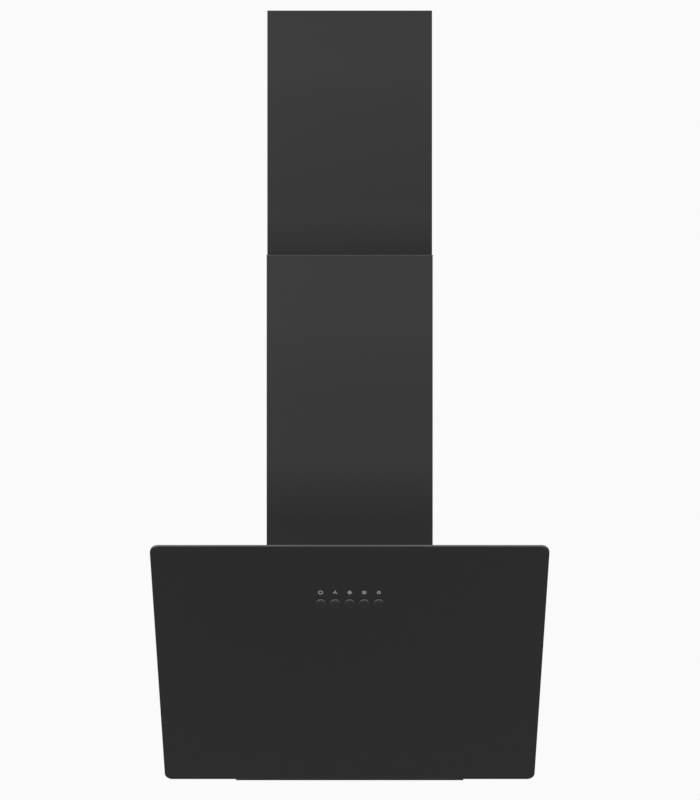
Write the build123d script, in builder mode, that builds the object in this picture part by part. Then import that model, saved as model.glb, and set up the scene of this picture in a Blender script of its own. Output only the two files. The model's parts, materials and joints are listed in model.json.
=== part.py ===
from build123d import *

import math
import os

# Angled chimney range hood, 60 cm wide, for wall mounting.
# Millimetres. +X is to the right seen from the front, the front faces -Y, +Z is up.
# The wall is the plane Y = 0, and the origin is the middle of the four wall screw holes.
# "Left" pieces are on the -X side.

# Glass front panel, leaning with its top edge forward
GLASS_WIDTH = 596.0
GLASS_LENGTH = 465.0
GLASS_THICKNESS = 4.0
GLASS_CORNER = 12.0
GLASS_CHAMFER = 0.5
GLASS_TILT = 32.0  # degrees from upright
GLASS_LOW_DEPTH = 131.6  # wall to the lower front edge
GLASS_LOW_Z = -210.0  # lower front edge, below the wall screws

# Carcass of folded sheet
SHEET = 0.8
BODY_WIDTH = 520.0
BODY_HEIGHT = 358.0
BODY_RISE = 8.0  # bottom panel above the glass's lower edge
FRAME_SETBACK = 38.0  # slanted intake frame behind the glass's front face
FLANGE = 15.0  # folded edge of a side panel
WALL_HOLE_SPACING_X = 440.0
WALL_HOLE_SPACING_Z = 220.0
WALL_HOLE_RADIUS = 4.0

# Lamp box under the bottom panel
LAMP_BOX_WIDTH = 372.0
LAMP_BOX_DEPTH = 80.0
LAMP_BOX_HEIGHT = 18.0
LAMP_BOX_WALL_GAP = 8.0
LAMP_LENGTH = 300.0
LAMP_WIDTH = 20.0
LAMP_BEZEL_WIDTH = 5.0
LAMP_BEZEL_HEIGHT = 1.6
LAMP_LENS_THICKNESS = 8.0

# Grease filter in its recess
FILTER_WIDTH = 400.0
FILTER_LENGTH = 300.0
FILTER_THICKNESS = 9.0
FILTER_BAR = 12.0
FILTER_FIT = 0.5
FILTER_LEDGE = 10.0
GRILLE_COLUMNS = 7
GRILLE_ROWS = 5
GRILLE_WEB = 3.0
GRILLE_SETBACK = 0.6
MESH_PLEATS = 22
MESH_PLEAT_DEPTH = 4.6
MESH_THICKNESS = 0.5
HANDLE_WIDTH = 90.0
HANDLE_LENGTH = 40.0
LATCH_WIDTH = 48.0
LATCH_LENGTH = 16.0
LATCH_THICKNESS = 4.5
LATCH_RIDGE = 3.0
LATCH_TRAVEL = 6.0
LATCH_CLEARANCE = 0.3
POCKET_INSET = 1.2  # latch's front below the filter's front
LATCH_ROOM = 8.0  # left above the latch for its return spring
TONGUE_WIDTH = 16.0
TONGUE_THICKNESS = 2.5
TONGUE_REACH = 4.2

# Chimney sections
CHIMNEY_WIDTH = 262.0
CHIMNEY_DEPTH = 205.0
CHIMNEY_SHEET = 0.7
CHIMNEY_CORNER = 1.5
CHIMNEY_CLEARANCE = 0.3
CHIMNEY_LIP = 12.0  # folded rear edge
LOWER_CHIMNEY_HEIGHT = 475.0
UPPER_CHIMNEY_HEIGHT = 460.0
CHIMNEY_OVERLAP = 74.5
SEAT_HEIGHT = 15.0
SEAT_FOOT = 12.0
VENT_SLOTS = 5
VENT_SLOT_LENGTH = 60.0
VENT_SLOT_WIDTH = 4.0
VENT_SLOT_PITCH = 11.0
VENT_DROP = 90.0  # middle of the slots below the chimney's top
BRACKET_SHEET = 1.2
BRACKET_HEIGHT = 30.0
BRACKET_REACH = 60.0
BRACKET_DROP = 8.0
BRACKET_HOLE_SPACING = 200.0
BRACKET_HOLE_RADIUS = 2.75

# Outlet collar for a 150 mm duct, and its flaps
COLLAR_RADIUS = 74.75
COLLAR_WALL = 1.75
COLLAR_HEIGHT = 42.0
COLLAR_FLANGE_SIZE = 172.0
COLLAR_FLANGE = 2.5
FLAP_THICKNESS = 1.2
FLAP_GAP = 1.5
FLAP_AXIS_OFFSET = 4.0
FLAP_MIDDLE_GAP = 1.0  # between the two flaps
FLAP_HEEL = 110.0  # length of the strip behind a flap's axis
FLAP_PIN_RADIUS = 1.5
FLAP_PIN_SIDES = 12
FLAP_SEAT = 5.0  # rim of the top panel that the closed flaps lie over
RUNNING_FIT = 0.05
FACE_GAP = 0.3

# Blower
WHEEL_DEPTH = 112.0  # shaft from the wall
WHEEL_DROP = 137.0  # shaft below the top panel
WHEEL_RADIUS = 70.0
WHEEL_INNER_RADIUS = 57.0
WHEEL_HALF_LENGTH = 68.0
WHEEL_RIM_LAP = 1.0  # rims past the blades' tips and roots
WHEEL_RIM_LENGTH = 3.0
WHEEL_DISC = 3.0
BLADE_COUNT = 24
BLADE_THICKNESS = 1.1
BLADE_SWEEP = 13.0  # degrees that the blade's tip leads its root
BLADE_BOW = 2.0  # degrees that the blade's middle lags
HUB_RADIUS = 10.0
HUB_LENGTH = 20.0
SHAFT_RADIUS = 4.0
SCROLL_START_ANGLE = 110.0  # degrees from the wall side, over the top
SCROLL_START_RADIUS = 75.0
SCROLL_END_RADIUS = 100.0
SCROLL_STEPS = 20
TONGUE_RADIUS = 5.0
HOUSING_WALL = 2.0
HOUSING_HALF_WIDTH = 75.0
OUTLET_DEPTH = 170.0
OUTLET_FLANGE = 7.0
INLET_RADIUS = 60.0

# Motor
MOTOR_START = 12.0  # near end of the can, from the wheel's middle
MOTOR_RADIUS = 44.0
MOTOR_LENGTH = 72.0
MOTOR_BORE_DEPTH = 60.0
MOTOR_PLATE = 2.0
MOTOR_ARM_WIDTH = 14.0
MOTOR_FOOT_CIRCLE = 78.0
MOTOR_ARM_ANGLES = (90.0, 210.0, 330.0)
SPACER_RADIUS = 6.0

# Electrics inside the carcass
TERMINAL_BOX_SIZE = (90.0, 30.0, 60.0)
TERMINAL_BOX_PLACE = (155.0, 55.0)
TERMINAL_BOX_WALL = 2.0
TERMINAL_BOX_EDGE = 1.0
CAPACITOR_SIZE = (48.0, 24.0, 34.0)
CAPACITOR_PLACE = (-155.0, 50.0)
DRIVER_SIZE = (90.0, 42.0, 22.0)
DRIVER_PLACE = (-150.0, -45.0)
DRIVER_EDGE = 1.5
BUSH_PLACE = (-98.0, -176.0)
BUSH_HEAD = 22.0
BUSH_HEAD_HEIGHT = 14.0
BUSH_NECK = 14.0
BUSH_NECK_DROP = 10.0
BUSH_FIT = 0.2
BUSH_BORE_RADIUS = 4.2
BUSH_EDGE = 2.0

# Backing tray of the glass, hinges and catches
TRAY_INSET = 20.0
TRAY_DEPTH = 15.0
HINGE_SPACING = 380.0
HINGE_BELOW_TOP = 25.0  # axis below the glass's top edge, along the slope
HINGE_SETBACK = 22.0  # axis behind the glass's front face
HINGE_PIN_RADIUS = 2.5
HINGE_SHEET = 2.0
LEAF_EAR_RADIUS = 5.0
LEAF_WIDTH = 36.0
LEAF_LENGTH = 30.0
BRACKET_EAR_RADIUS = 6.0
BRACKET_BASE_LENGTH = 32.0
BRACKET_BASE_INSET = 2.0
BRACKET_BASE_WIDTH = 24.0
HINGE_NOTCH = 44.0
CATCH_SPACING = 450.0
CATCH_ALONG = 32.0
CATCH_POST_SIZE = 16.0
CATCH_MAGNET_SIZE = 10.0
CATCH_MAGNET_LENGTH = 5.0
STRIKE_SIZE = 18.0
STRIKE_THICKNESS = 2.0

# Push buttons and their switch block
BUTTON_NAMES = (
    "power_button",
    "low_speed_button",
    "medium_speed_button",
    "high_speed_button",
    "light_button",
)
BUTTON_PITCH = 22.0
BUTTON_RADIUS = 7.5
BUTTON_BELOW_TOP = 105.9  # row of buttons below the glass's top edge, along the slope
BUTTON_PROUD = 2.8
BUTTON_FIT = 0.4
BUTTON_TRAVEL = 3.0
STEM_SIZE = 5.0
STEM_FIT = 0.2
STEM_LENGTH = 16.0
BLOCK_HEIGHT = 22.0
BLOCK_DEPTH = 21.0
BLOCK_MARGIN = 8.0
BLOCK_LUG = 5.0
BLOCK_FLANGE = 2.0
POCKET_DEPTH = 4.0
OVER_TRAVEL = 1.0

# Places worked out from the sizes above
tilt_sin = math.sin(math.radians(GLASS_TILT))
tilt_cos = math.cos(math.radians(GLASS_TILT))
up_slope = Vector(0, -tilt_sin, tilt_cos)
outward = Vector(0, -tilt_cos, -tilt_sin)
panel_plane = Plane(
    origin=(0, -GLASS_LOW_DEPTH, GLASS_LOW_Z), x_dir=(1, 0, 0), z_dir=outward
)
body_low = GLASS_LOW_Z + BODY_RISE
body_top = body_low + BODY_HEIGHT
body_side = BODY_WIDTH / 2
frame_back = -FRAME_SETBACK - SHEET
tray_face = -GLASS_THICKNESS
tray_back = tray_face - SHEET
chimney_top = body_top + LOWER_CHIMNEY_HEIGHT - CHIMNEY_OVERLAP + UPPER_CHIMNEY_HEIGHT
duct_y = -CHIMNEY_DEPTH / 2
wheel_y = -WHEEL_DEPTH
wheel_z = body_top - WHEEL_DROP
wheel_axis = Axis((0, wheel_y, wheel_z), (1, 0, 0))
wheel_plane = Plane(origin=(0, wheel_y, wheel_z), x_dir=(0, 1, 0), z_dir=(1, 0, 0))
motor_end = MOTOR_START + MOTOR_LENGTH
hinge_along = GLASS_LENGTH - HINGE_BELOW_TOP
button_along = GLASS_LENGTH - BUTTON_BELOW_TOP
filter_front = frame_back
filter_back = filter_front - FILTER_THICKNESS
body_middle = body_low + BODY_HEIGHT / 2
filter_along = (body_middle - GLASS_LOW_Z - FRAME_SETBACK * tilt_sin) / tilt_cos
filter_low = filter_along - FILTER_LENGTH / 2
handle_middle = filter_low + HANDLE_LENGTH / 2 + FILTER_BAR / 2
pocket_low = filter_low + FILTER_BAR
pocket_length = LATCH_LENGTH + LATCH_TRAVEL + LATCH_ROOM
pocket_depth = LATCH_THICKNESS + LATCH_CLEARANCE + POCKET_INSET
tongue_back = filter_front - pocket_depth + LATCH_CLEARANCE
latch_front = tongue_back + LATCH_THICKNESS

os.makedirs("parts", exist_ok=True)


def save(piece, label):
    """Name a finished piece and write it to its own file."""
    piece.part.label = label
    export_step(piece.part, f"parts/{label}.step")


def slope_point(along, out):
    """Y and Z of the point at a distance up the glass and out from its front face."""
    point = panel_plane.from_local_coords((0, along, out))
    return (point.Y, point.Z)


def slope_y(z, out):
    """Y where the plane parallel to the glass, at a distance out, crosses a height."""
    return -GLASS_LOW_DEPTH - (out + tilt_sin * (z - GLASS_LOW_Z)) / tilt_cos


def polar(radius, angle):
    """Point of the wheel's plane at a radius and an angle in degrees."""
    turn = math.radians(angle)
    return (radius * math.cos(turn), radius * math.sin(turn))


# ---------------------------------------------------------------- carcass


def body_profile():
    """Side view inside the sheets, as Y and Z of its corners."""
    low = body_low + SHEET
    top = body_top - SHEET
    return (
        (-SHEET, low),
        (slope_y(low, frame_back), low),
        (slope_y(top, frame_back), top),
        (-SHEET, top),
    )


def side_panel(side):
    """Side pan: an outer sheet with a folded edge all round, open towards the middle."""
    outer = side * body_side
    with BuildPart() as pan:
        with BuildSketch(Plane.YZ.offset(outer)):
            Polygon(*body_profile(), align=None)
        extrude(amount=-side * FLANGE)
        with BuildSketch(Plane.YZ.offset(outer - side * SHEET)):
            Polygon(*body_profile(), align=None)
            offset(amount=-SHEET, kind=Kind.INTERSECTION)
        extrude(amount=-side * FLANGE, mode=Mode.SUBTRACT)
    return pan


save(side_panel(-1), "side_panel_left")
save(side_panel(1), "side_panel_right")

with BuildPart() as back_panel:
    with BuildSketch(Plane.XZ):
        with Locations((0, body_middle)):
            Rectangle(BODY_WIDTH, BODY_HEIGHT)
        with GridLocations(WALL_HOLE_SPACING_X, WALL_HOLE_SPACING_Z, 2, 2):
            Circle(WALL_HOLE_RADIUS, mode=Mode.SUBTRACT)
    extrude(amount=SHEET)
save(back_panel, "back_panel")

with BuildPart() as top_panel:
    with BuildSketch(Plane.YZ):
        Polygon(
            (-SHEET, body_top),
            (slope_y(body_top, frame_back), body_top),
            (slope_y(body_top - SHEET, frame_back), body_top - SHEET),
            (-SHEET, body_top - SHEET),
            align=None,
        )
    extrude(amount=body_side, both=True)
    with BuildSketch(Plane.XY.offset(body_top)):
        with Locations((0, duct_y)):
            Circle(COLLAR_RADIUS - COLLAR_WALL - FLAP_SEAT)
        with Locations(BUSH_PLACE):
            Rectangle(BUSH_NECK + 2 * BUSH_FIT, BUSH_NECK + 2 * BUSH_FIT)
    extrude(amount=-SHEET, mode=Mode.SUBTRACT)
save(top_panel, "top_panel")

with BuildPart() as bottom_panel:
    with BuildSketch(Plane.YZ):
        Polygon(
            (-SHEET, body_low),
            (slope_y(body_low, frame_back), body_low),
            (slope_y(body_low + SHEET, frame_back), body_low + SHEET),
            (-SHEET, body_low + SHEET),
            align=None,
        )
    extrude(amount=body_side, both=True)
save(bottom_panel, "bottom_panel")

with BuildPart() as intake_frame:
    with BuildSketch(Plane.YZ):
        Polygon(
            (slope_y(body_low, -FRAME_SETBACK), body_low),
            (slope_y(body_top, -FRAME_SETBACK), body_top),
            (slope_y(body_top, frame_back), body_top),
            (slope_y(body_low, frame_back), body_low),
            align=None,
        )
    extrude(amount=body_side, both=True)
    # tub that the filter drops into, with a ledge for it to rest on
    with BuildSketch(panel_plane.offset(frame_back)):
        with Locations((0, filter_along)):
            Rectangle(
                FILTER_WIDTH + 2 * (FILTER_FIT + SHEET), FILTER_LENGTH + 2 * (FILTER_FIT + SHEET)
            )
    extrude(amount=-FILTER_THICKNESS - SHEET)
    with BuildSketch(panel_plane.offset(-FRAME_SETBACK)):
        with Locations((0, filter_along)):
            Rectangle(FILTER_WIDTH + 2 * FILTER_FIT, FILTER_LENGTH + 2 * FILTER_FIT)
    extrude(amount=-FILTER_THICKNESS - SHEET, mode=Mode.SUBTRACT)
    with BuildSketch(panel_plane.offset(filter_back)):
        with Locations((0, filter_along)):
            Rectangle(FILTER_WIDTH - 2 * FILTER_LEDGE, FILTER_LENGTH - 2 * FILTER_LEDGE)
    extrude(amount=-SHEET, mode=Mode.SUBTRACT)
    # slot for the latch's tongue in the tub's lower wall
    with BuildSketch(panel_plane.offset(tongue_back - LATCH_CLEARANCE)):
        with Locations((0, filter_low - FILTER_FIT - SHEET / 2)):
            Rectangle(TONGUE_WIDTH + 2 * LATCH_CLEARANCE, 3 * SHEET)
    extrude(amount=TONGUE_THICKNESS + 2 * LATCH_CLEARANCE, mode=Mode.SUBTRACT)
save(intake_frame, "intake_frame")

# ---------------------------------------------------------------- lamp box and lamps

lamp_box_low = body_low - LAMP_BOX_HEIGHT
lamp_y = -LAMP_BOX_WALL_GAP - LAMP_BOX_DEPTH / 2

with BuildPart() as lamp_box:
    with BuildSketch(Plane.XY.offset(lamp_box_low)):
        with Locations((0, lamp_y)):
            Rectangle(LAMP_BOX_WIDTH, LAMP_BOX_DEPTH)
    extrude(amount=LAMP_BOX_HEIGHT)
    offset(amount=-SHEET, openings=lamp_box.faces().sort_by(Axis.Z)[-1], kind=Kind.INTERSECTION)
    with BuildSketch(Plane.XY.offset(lamp_box_low)):
        with Locations((0, lamp_y)):
            Rectangle(LAMP_LENGTH, LAMP_WIDTH)
    extrude(amount=SHEET, mode=Mode.SUBTRACT)
save(lamp_box, "lamp_box")

with BuildPart() as lamp_bezel:
    with BuildSketch(Plane.XY.offset(lamp_box_low)):
        with Locations((0, lamp_y)):
            Rectangle(LAMP_LENGTH + 2 * LAMP_BEZEL_WIDTH, LAMP_WIDTH + 2 * LAMP_BEZEL_WIDTH)
            Rectangle(LAMP_LENGTH, LAMP_WIDTH, mode=Mode.SUBTRACT)
    extrude(amount=-LAMP_BEZEL_HEIGHT)
save(lamp_bezel, "lamp_bezel")

with BuildPart() as lamp_module:
    with BuildSketch(Plane.XY.offset(lamp_box_low - LAMP_BEZEL_HEIGHT / 2)):
        with Locations((0, lamp_y)):
            Rectangle(LAMP_LENGTH, LAMP_WIDTH)
    extrude(amount=LAMP_LENS_THICKNESS)
save(lamp_module, "lamp_module")

# ---------------------------------------------------------------- grease filter

inner_width = FILTER_WIDTH - 2 * FILTER_BAR
inner_length = FILTER_LENGTH - 2 * FILTER_BAR

with BuildPart() as grease_filter_frame:
    with BuildSketch(panel_plane.offset(filter_back)):
        with Locations((0, filter_along)):
            Rectangle(FILTER_WIDTH, FILTER_LENGTH)
            Rectangle(inner_width, inner_length, mode=Mode.SUBTRACT)
        with Locations((0, handle_middle)):
            Rectangle(HANDLE_WIDTH, HANDLE_LENGTH + FILTER_BAR)
    extrude(amount=FILTER_THICKNESS)
    # pocket for the latch, and the slot that its tongue leaves through
    with BuildSketch(panel_plane.offset(filter_front)):
        with Locations((0, pocket_low + pocket_length / 2)):
            Rectangle(LATCH_WIDTH + 2 * LATCH_CLEARANCE, pocket_length)
    extrude(amount=-pocket_depth, mode=Mode.SUBTRACT)
    with BuildSketch(panel_plane.offset(tongue_back - LATCH_CLEARANCE)):
        with Locations((0, pocket_low - FILTER_BAR / 2)):
            Rectangle(TONGUE_WIDTH + 2 * LATCH_CLEARANCE, 2 * FILTER_BAR)
    extrude(amount=TONGUE_THICKNESS + 2 * LATCH_CLEARANCE, mode=Mode.SUBTRACT)
save(grease_filter_frame, "grease_filter_frame")

grille_pitch_x = inner_width / GRILLE_COLUMNS
grille_pitch_y = inner_length / GRILLE_ROWS
half_x = (grille_pitch_x - GRILLE_WEB) / 2
half_y = (grille_pitch_y - GRILLE_WEB) / 2
grille_back = filter_front - GRILLE_SETBACK - SHEET

with BuildPart() as grease_filter_grille:
    with BuildSketch(panel_plane.offset(grille_back)):
        with Locations((0, filter_along)):
            Rectangle(inner_width, inner_length)
            with GridLocations(grille_pitch_x, grille_pitch_y, GRILLE_COLUMNS, GRILLE_ROWS):
                Polygon(
                    (half_x, 0),
                    (0, half_y),
                    (-half_x, 0),
                    (0, -half_y),
                    align=None,
                    mode=Mode.SUBTRACT,
                )
        with Locations((0, handle_middle)):
            Rectangle(HANDLE_WIDTH, HANDLE_LENGTH + FILTER_BAR, mode=Mode.SUBTRACT)
    extrude(amount=SHEET)
save(grease_filter_grille, "grease_filter_grille")

pleat_plane = Plane(
    origin=panel_plane.from_local_coords((0, filter_along - inner_length / 2, grille_back)),
    x_dir=(1, 0, 0),
    z_dir=up_slope,
)
pleat_pitch = inner_width / MESH_PLEATS

with BuildPart() as grease_filter_mesh:
    with BuildSketch(pleat_plane):
        with BuildLine():
            front_fold = [
                (
                    -inner_width / 2 + fold * pleat_pitch / 2,
                    MESH_PLEAT_DEPTH * (fold % 2),
                )
                for fold in range(2 * MESH_PLEATS + 1)
            ]
            back_fold = [(x, depth + MESH_THICKNESS) for x, depth in reversed(front_fold)]
            Polyline(*front_fold, *back_fold, close=True)
        make_face()
    extrude(amount=inner_length)
    with BuildSketch(panel_plane.offset(filter_front)):
        with Locations((0, handle_middle)):
            Rectangle(HANDLE_WIDTH, HANDLE_LENGTH + FILTER_BAR)
    extrude(amount=-FILTER_THICKNESS, mode=Mode.SUBTRACT)
save(grease_filter_mesh, "grease_filter_mesh")

with BuildPart() as filter_latch:
    with BuildSketch(panel_plane.offset(latch_front - LATCH_THICKNESS)):
        with Locations((0, pocket_low + LATCH_CLEARANCE + LATCH_LENGTH / 2)):
            Rectangle(LATCH_WIDTH, LATCH_LENGTH)
    extrude(amount=LATCH_THICKNESS)
    with BuildSketch(panel_plane.offset(latch_front)):
        with Locations((0, pocket_low + LATCH_CLEARANCE + LATCH_LENGTH - LATCH_RIDGE)):
            Rectangle(LATCH_WIDTH / 2, LATCH_RIDGE)
        with Locations((0, pocket_low + LATCH_CLEARANCE + LATCH_LENGTH - 3 * LATCH_RIDGE)):
            Rectangle(LATCH_WIDTH / 2, LATCH_RIDGE)
    extrude(amount=LATCH_RIDGE / 2)
    with BuildSketch(panel_plane.offset(tongue_back)):
        tongue_low = filter_low - TONGUE_REACH
        tongue_top = pocket_low + LATCH_CLEARANCE + LATCH_RIDGE
        with Locations((0, (tongue_low + tongue_top) / 2)):
            Rectangle(TONGUE_WIDTH, tongue_top - tongue_low)
    extrude(amount=TONGUE_THICKNESS)
save(filter_latch, "filter_latch")

# ---------------------------------------------------------------- chimney


def chimney_section(width, depth, back, low, height, lip_height):
    """Upright U of sheet: a front, two sides and two folded rear lips."""
    with BuildPart() as section:
        with BuildSketch(Plane.XY.offset(low)):
            with Locations((0, -back - depth / 2)):
                Rectangle(width, depth)
                Rectangle(width - 2 * CHIMNEY_SHEET, depth - 2 * CHIMNEY_SHEET, mode=Mode.SUBTRACT)
            with Locations((0, -back)):
                Rectangle(
                    width - 2 * CHIMNEY_LIP - 2 * CHIMNEY_SHEET,
                    4 * CHIMNEY_SHEET,
                    mode=Mode.SUBTRACT,
                )
        extrude(amount=height)
        with BuildSketch(Plane.XY.offset(low + lip_height)):
            with Locations((0, -back)):
                Rectangle(width - 2 * CHIMNEY_SHEET, 2 * CHIMNEY_SHEET)
        extrude(amount=height, mode=Mode.SUBTRACT)
        upright = section.edges().filter_by(Axis.Z).filter_by(lambda edge: edge.length > height / 2)
        front = upright.group_by(Axis.Y)
        fillet(front[0], radius=CHIMNEY_CORNER)
        fillet(
            section.edges()
            .filter_by(Axis.Z)
            .filter_by(lambda edge: edge.length > height / 2)
            .filter_by_position(
                Axis.Y,
                -back - depth + CHIMNEY_SHEET - 0.01,
                -back - depth + CHIMNEY_SHEET + 0.01,
            ),
            radius=CHIMNEY_CORNER - CHIMNEY_SHEET,
        )
    return section


bracket_low = chimney_top - BRACKET_DROP - BRACKET_HEIGHT
upper_width = CHIMNEY_WIDTH - 2 * CHIMNEY_SHEET - 2 * CHIMNEY_CLEARANCE
upper_back = CHIMNEY_SHEET + CHIMNEY_CLEARANCE
upper_depth = CHIMNEY_DEPTH - 2 * upper_back
upper_low = chimney_top - UPPER_CHIMNEY_HEIGHT

lower_chimney = chimney_section(
    CHIMNEY_WIDTH, CHIMNEY_DEPTH, 0, body_top, LOWER_CHIMNEY_HEIGHT, LOWER_CHIMNEY_HEIGHT
)
save(lower_chimney, "lower_chimney")

upper_section = chimney_section(
    upper_width,
    upper_depth,
    upper_back,
    upper_low,
    UPPER_CHIMNEY_HEIGHT,
    UPPER_CHIMNEY_HEIGHT - 2 * BRACKET_DROP - BRACKET_HEIGHT,
)
with BuildPart() as upper_chimney:
    add(upper_section.part)
    with BuildSketch(Plane.YZ):
        with Locations((duct_y, chimney_top - VENT_DROP)):
            with GridLocations(0, VENT_SLOT_PITCH, 1, VENT_SLOTS):
                Rectangle(VENT_SLOT_LENGTH, VENT_SLOT_WIDTH)
    extrude(amount=CHIMNEY_WIDTH, both=True, mode=Mode.SUBTRACT)
save(upper_chimney, "upper_chimney")

seat_width = CHIMNEY_WIDTH - 2 * CHIMNEY_SHEET - 2 * CHIMNEY_CLEARANCE
seat_front = CHIMNEY_DEPTH - CHIMNEY_SHEET - CHIMNEY_CLEARANCE

with BuildPart() as chimney_seat:
    with BuildSketch(Plane.XY.offset(body_top)):
        with Locations((0, -seat_front / 2)):
            Rectangle(seat_width, seat_front)
    extrude(amount=SEAT_HEIGHT)
    with BuildSketch(Plane.XY.offset(body_top + SHEET)):
        with Locations((0, -seat_front / 2)):
            Rectangle(seat_width - 2 * SHEET, seat_front - 2 * SHEET)
    extrude(amount=SEAT_HEIGHT, mode=Mode.SUBTRACT)
    with BuildSketch(Plane.XY.offset(body_top)):
        with Locations((0, -seat_front / 2)):
            Rectangle(seat_width - 2 * SEAT_FOOT, seat_front - 2 * SEAT_FOOT)
        # open towards the wall
        with Locations((0, -SEAT_FOOT / 2)):
            Rectangle(seat_width, SEAT_FOOT)
    extrude(amount=SEAT_HEIGHT, mode=Mode.SUBTRACT)
save(chimney_seat, "chimney_seat")

bracket_half = upper_width / 2 - CHIMNEY_SHEET - CHIMNEY_CLEARANCE

with BuildPart() as chimney_bracket:
    with BuildSketch(Plane.XY.offset(bracket_low)):
        with Locations((0, -BRACKET_REACH / 2)):
            Rectangle(2 * bracket_half, BRACKET_REACH)
        with Locations((0, -BRACKET_SHEET - BRACKET_REACH / 2)):
            Rectangle(2 * (bracket_half - BRACKET_SHEET), BRACKET_REACH, mode=Mode.SUBTRACT)
    extrude(amount=BRACKET_HEIGHT)
    with BuildSketch(Plane.XZ):
        with Locations((0, bracket_low + BRACKET_HEIGHT / 2)):
            with GridLocations(BRACKET_HOLE_SPACING, 0, 2, 1):
                Circle(BRACKET_HOLE_RADIUS)
    extrude(amount=BRACKET_SHEET, mode=Mode.SUBTRACT)
save(chimney_bracket, "chimney_bracket")

# ---------------------------------------------------------------- outlet collar and flaps

collar_bore = COLLAR_RADIUS - COLLAR_WALL
flap_z = body_top + FLAP_PIN_RADIUS + RUNNING_FIT
flap_low = body_top + FACE_GAP
flap_radius = collar_bore - FLAP_GAP
flap_axes = [duct_y - FLAP_AXIS_OFFSET, duct_y + FLAP_AXIS_OFFSET]
pin_slot = 2 * (FLAP_PIN_RADIUS + RUNNING_FIT)

with BuildPart() as duct_collar:
    with BuildSketch(Plane.XY.offset(body_top)):
        with Locations((0, duct_y)):
            Rectangle(COLLAR_FLANGE_SIZE, COLLAR_FLANGE_SIZE)
    extrude(amount=COLLAR_FLANGE)
    with BuildSketch(Plane.XY.offset(body_top)):
        with Locations((0, duct_y)):
            Circle(COLLAR_RADIUS)
    extrude(amount=COLLAR_HEIGHT)
    with BuildSketch(Plane.XY.offset(body_top)):
        with Locations((0, duct_y)):
            Circle(collar_bore)
    extrude(amount=COLLAR_HEIGHT, mode=Mode.SUBTRACT)
    # slots at the foot, where the top panel holds the flaps' pins in
    with BuildSketch(Plane.XY.offset(body_top)):
        with Locations(*[(0, y) for y in flap_axes]):
            Rectangle(2 * COLLAR_RADIUS, pin_slot)
    extrude(amount=pin_slot, mode=Mode.SUBTRACT)
save(duct_collar, "duct_collar")


def flap(side):
    """Half-round flap on one side of the collar's middle, with its pins."""
    axis_y = duct_y + side * FLAP_AXIS_OFFSET
    heel = FLAP_AXIS_OFFSET - FLAP_MIDDLE_GAP / 2
    with BuildPart() as leaf:
        with BuildSketch(Plane.XY.offset(flap_low)):
            with Locations((0, duct_y)):
                Circle(flap_radius)
            with Locations((0, axis_y - side * flap_radius)):
                Rectangle(2 * flap_radius, 2 * flap_radius, mode=Mode.SUBTRACT)
            with Locations((0, axis_y - side * heel / 2)):
                Rectangle(FLAP_HEEL, heel)
        extrude(amount=FLAP_THICKNESS)
        with BuildSketch(Plane.YZ):
            with Locations((axis_y, flap_z)):
                RegularPolygon(FLAP_PIN_RADIUS, FLAP_PIN_SIDES)
        extrude(amount=COLLAR_RADIUS - FACE_GAP, both=True)
    return leaf


save(flap(-1), "flap_front")
save(flap(1), "flap_back")

with BuildPart() as cable_bush:
    with BuildSketch(Plane.XY.offset(body_top)):
        with Locations(BUSH_PLACE):
            Rectangle(BUSH_HEAD, BUSH_HEAD)
    extrude(amount=BUSH_HEAD_HEIGHT)
    chamfer(cable_bush.faces().sort_by(Axis.Z)[-1].edges(), length=BUSH_EDGE)
    with BuildSketch(Plane.XY.offset(body_top)):
        with Locations(BUSH_PLACE):
            Rectangle(BUSH_NECK, BUSH_NECK)
    extrude(amount=-BUSH_NECK_DROP)
    with BuildSketch(Plane.XY.offset(body_top - BUSH_NECK_DROP)):
        with Locations(BUSH_PLACE):
            Circle(BUSH_BORE_RADIUS)
    extrude(amount=BUSH_NECK_DROP + BUSH_HEAD_HEIGHT, mode=Mode.SUBTRACT)
save(cable_bush, "cable_bush")

# ---------------------------------------------------------------- blower housing

housing_top = WHEEL_DROP - SHEET
outlet_back = SCROLL_END_RADIUS
outlet_front = SCROLL_END_RADIUS - OUTLET_DEPTH


def scroll_radius(angle):
    """Outer radius of the scroll, growing evenly from the tongue to the outlet."""
    share = (angle - SCROLL_START_ANGLE) / (360 - SCROLL_START_ANGLE)
    return SCROLL_START_RADIUS + share * (SCROLL_END_RADIUS - SCROLL_START_RADIUS)


def scroll_point(angle):
    return polar(scroll_radius(angle), angle)


scroll_step = (360 - SCROLL_START_ANGLE) / SCROLL_STEPS

# the scroll's wall is a run of flat steps
with BuildSketch() as scroll_outline:
    Polygon(
        *[scroll_point(SCROLL_START_ANGLE + step * scroll_step) for step in range(SCROLL_STEPS + 1)],
        (outlet_back, housing_top),
        (outlet_front, housing_top),
        align=None,
    )
    tongue = scroll_outline.vertices().sort_by_distance((*scroll_point(SCROLL_START_ANGLE), 0))[0]
    fillet(tongue, radius=TONGUE_RADIUS)

with BuildSketch() as scroll_inside:
    add(scroll_outline.sketch)
    offset(amount=-HOUSING_WALL, kind=Kind.INTERSECTION)
    with Locations(((outlet_back + outlet_front) / 2, housing_top)):
        Rectangle(OUTLET_DEPTH - 2 * HOUSING_WALL, 3 * HOUSING_WALL)


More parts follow.
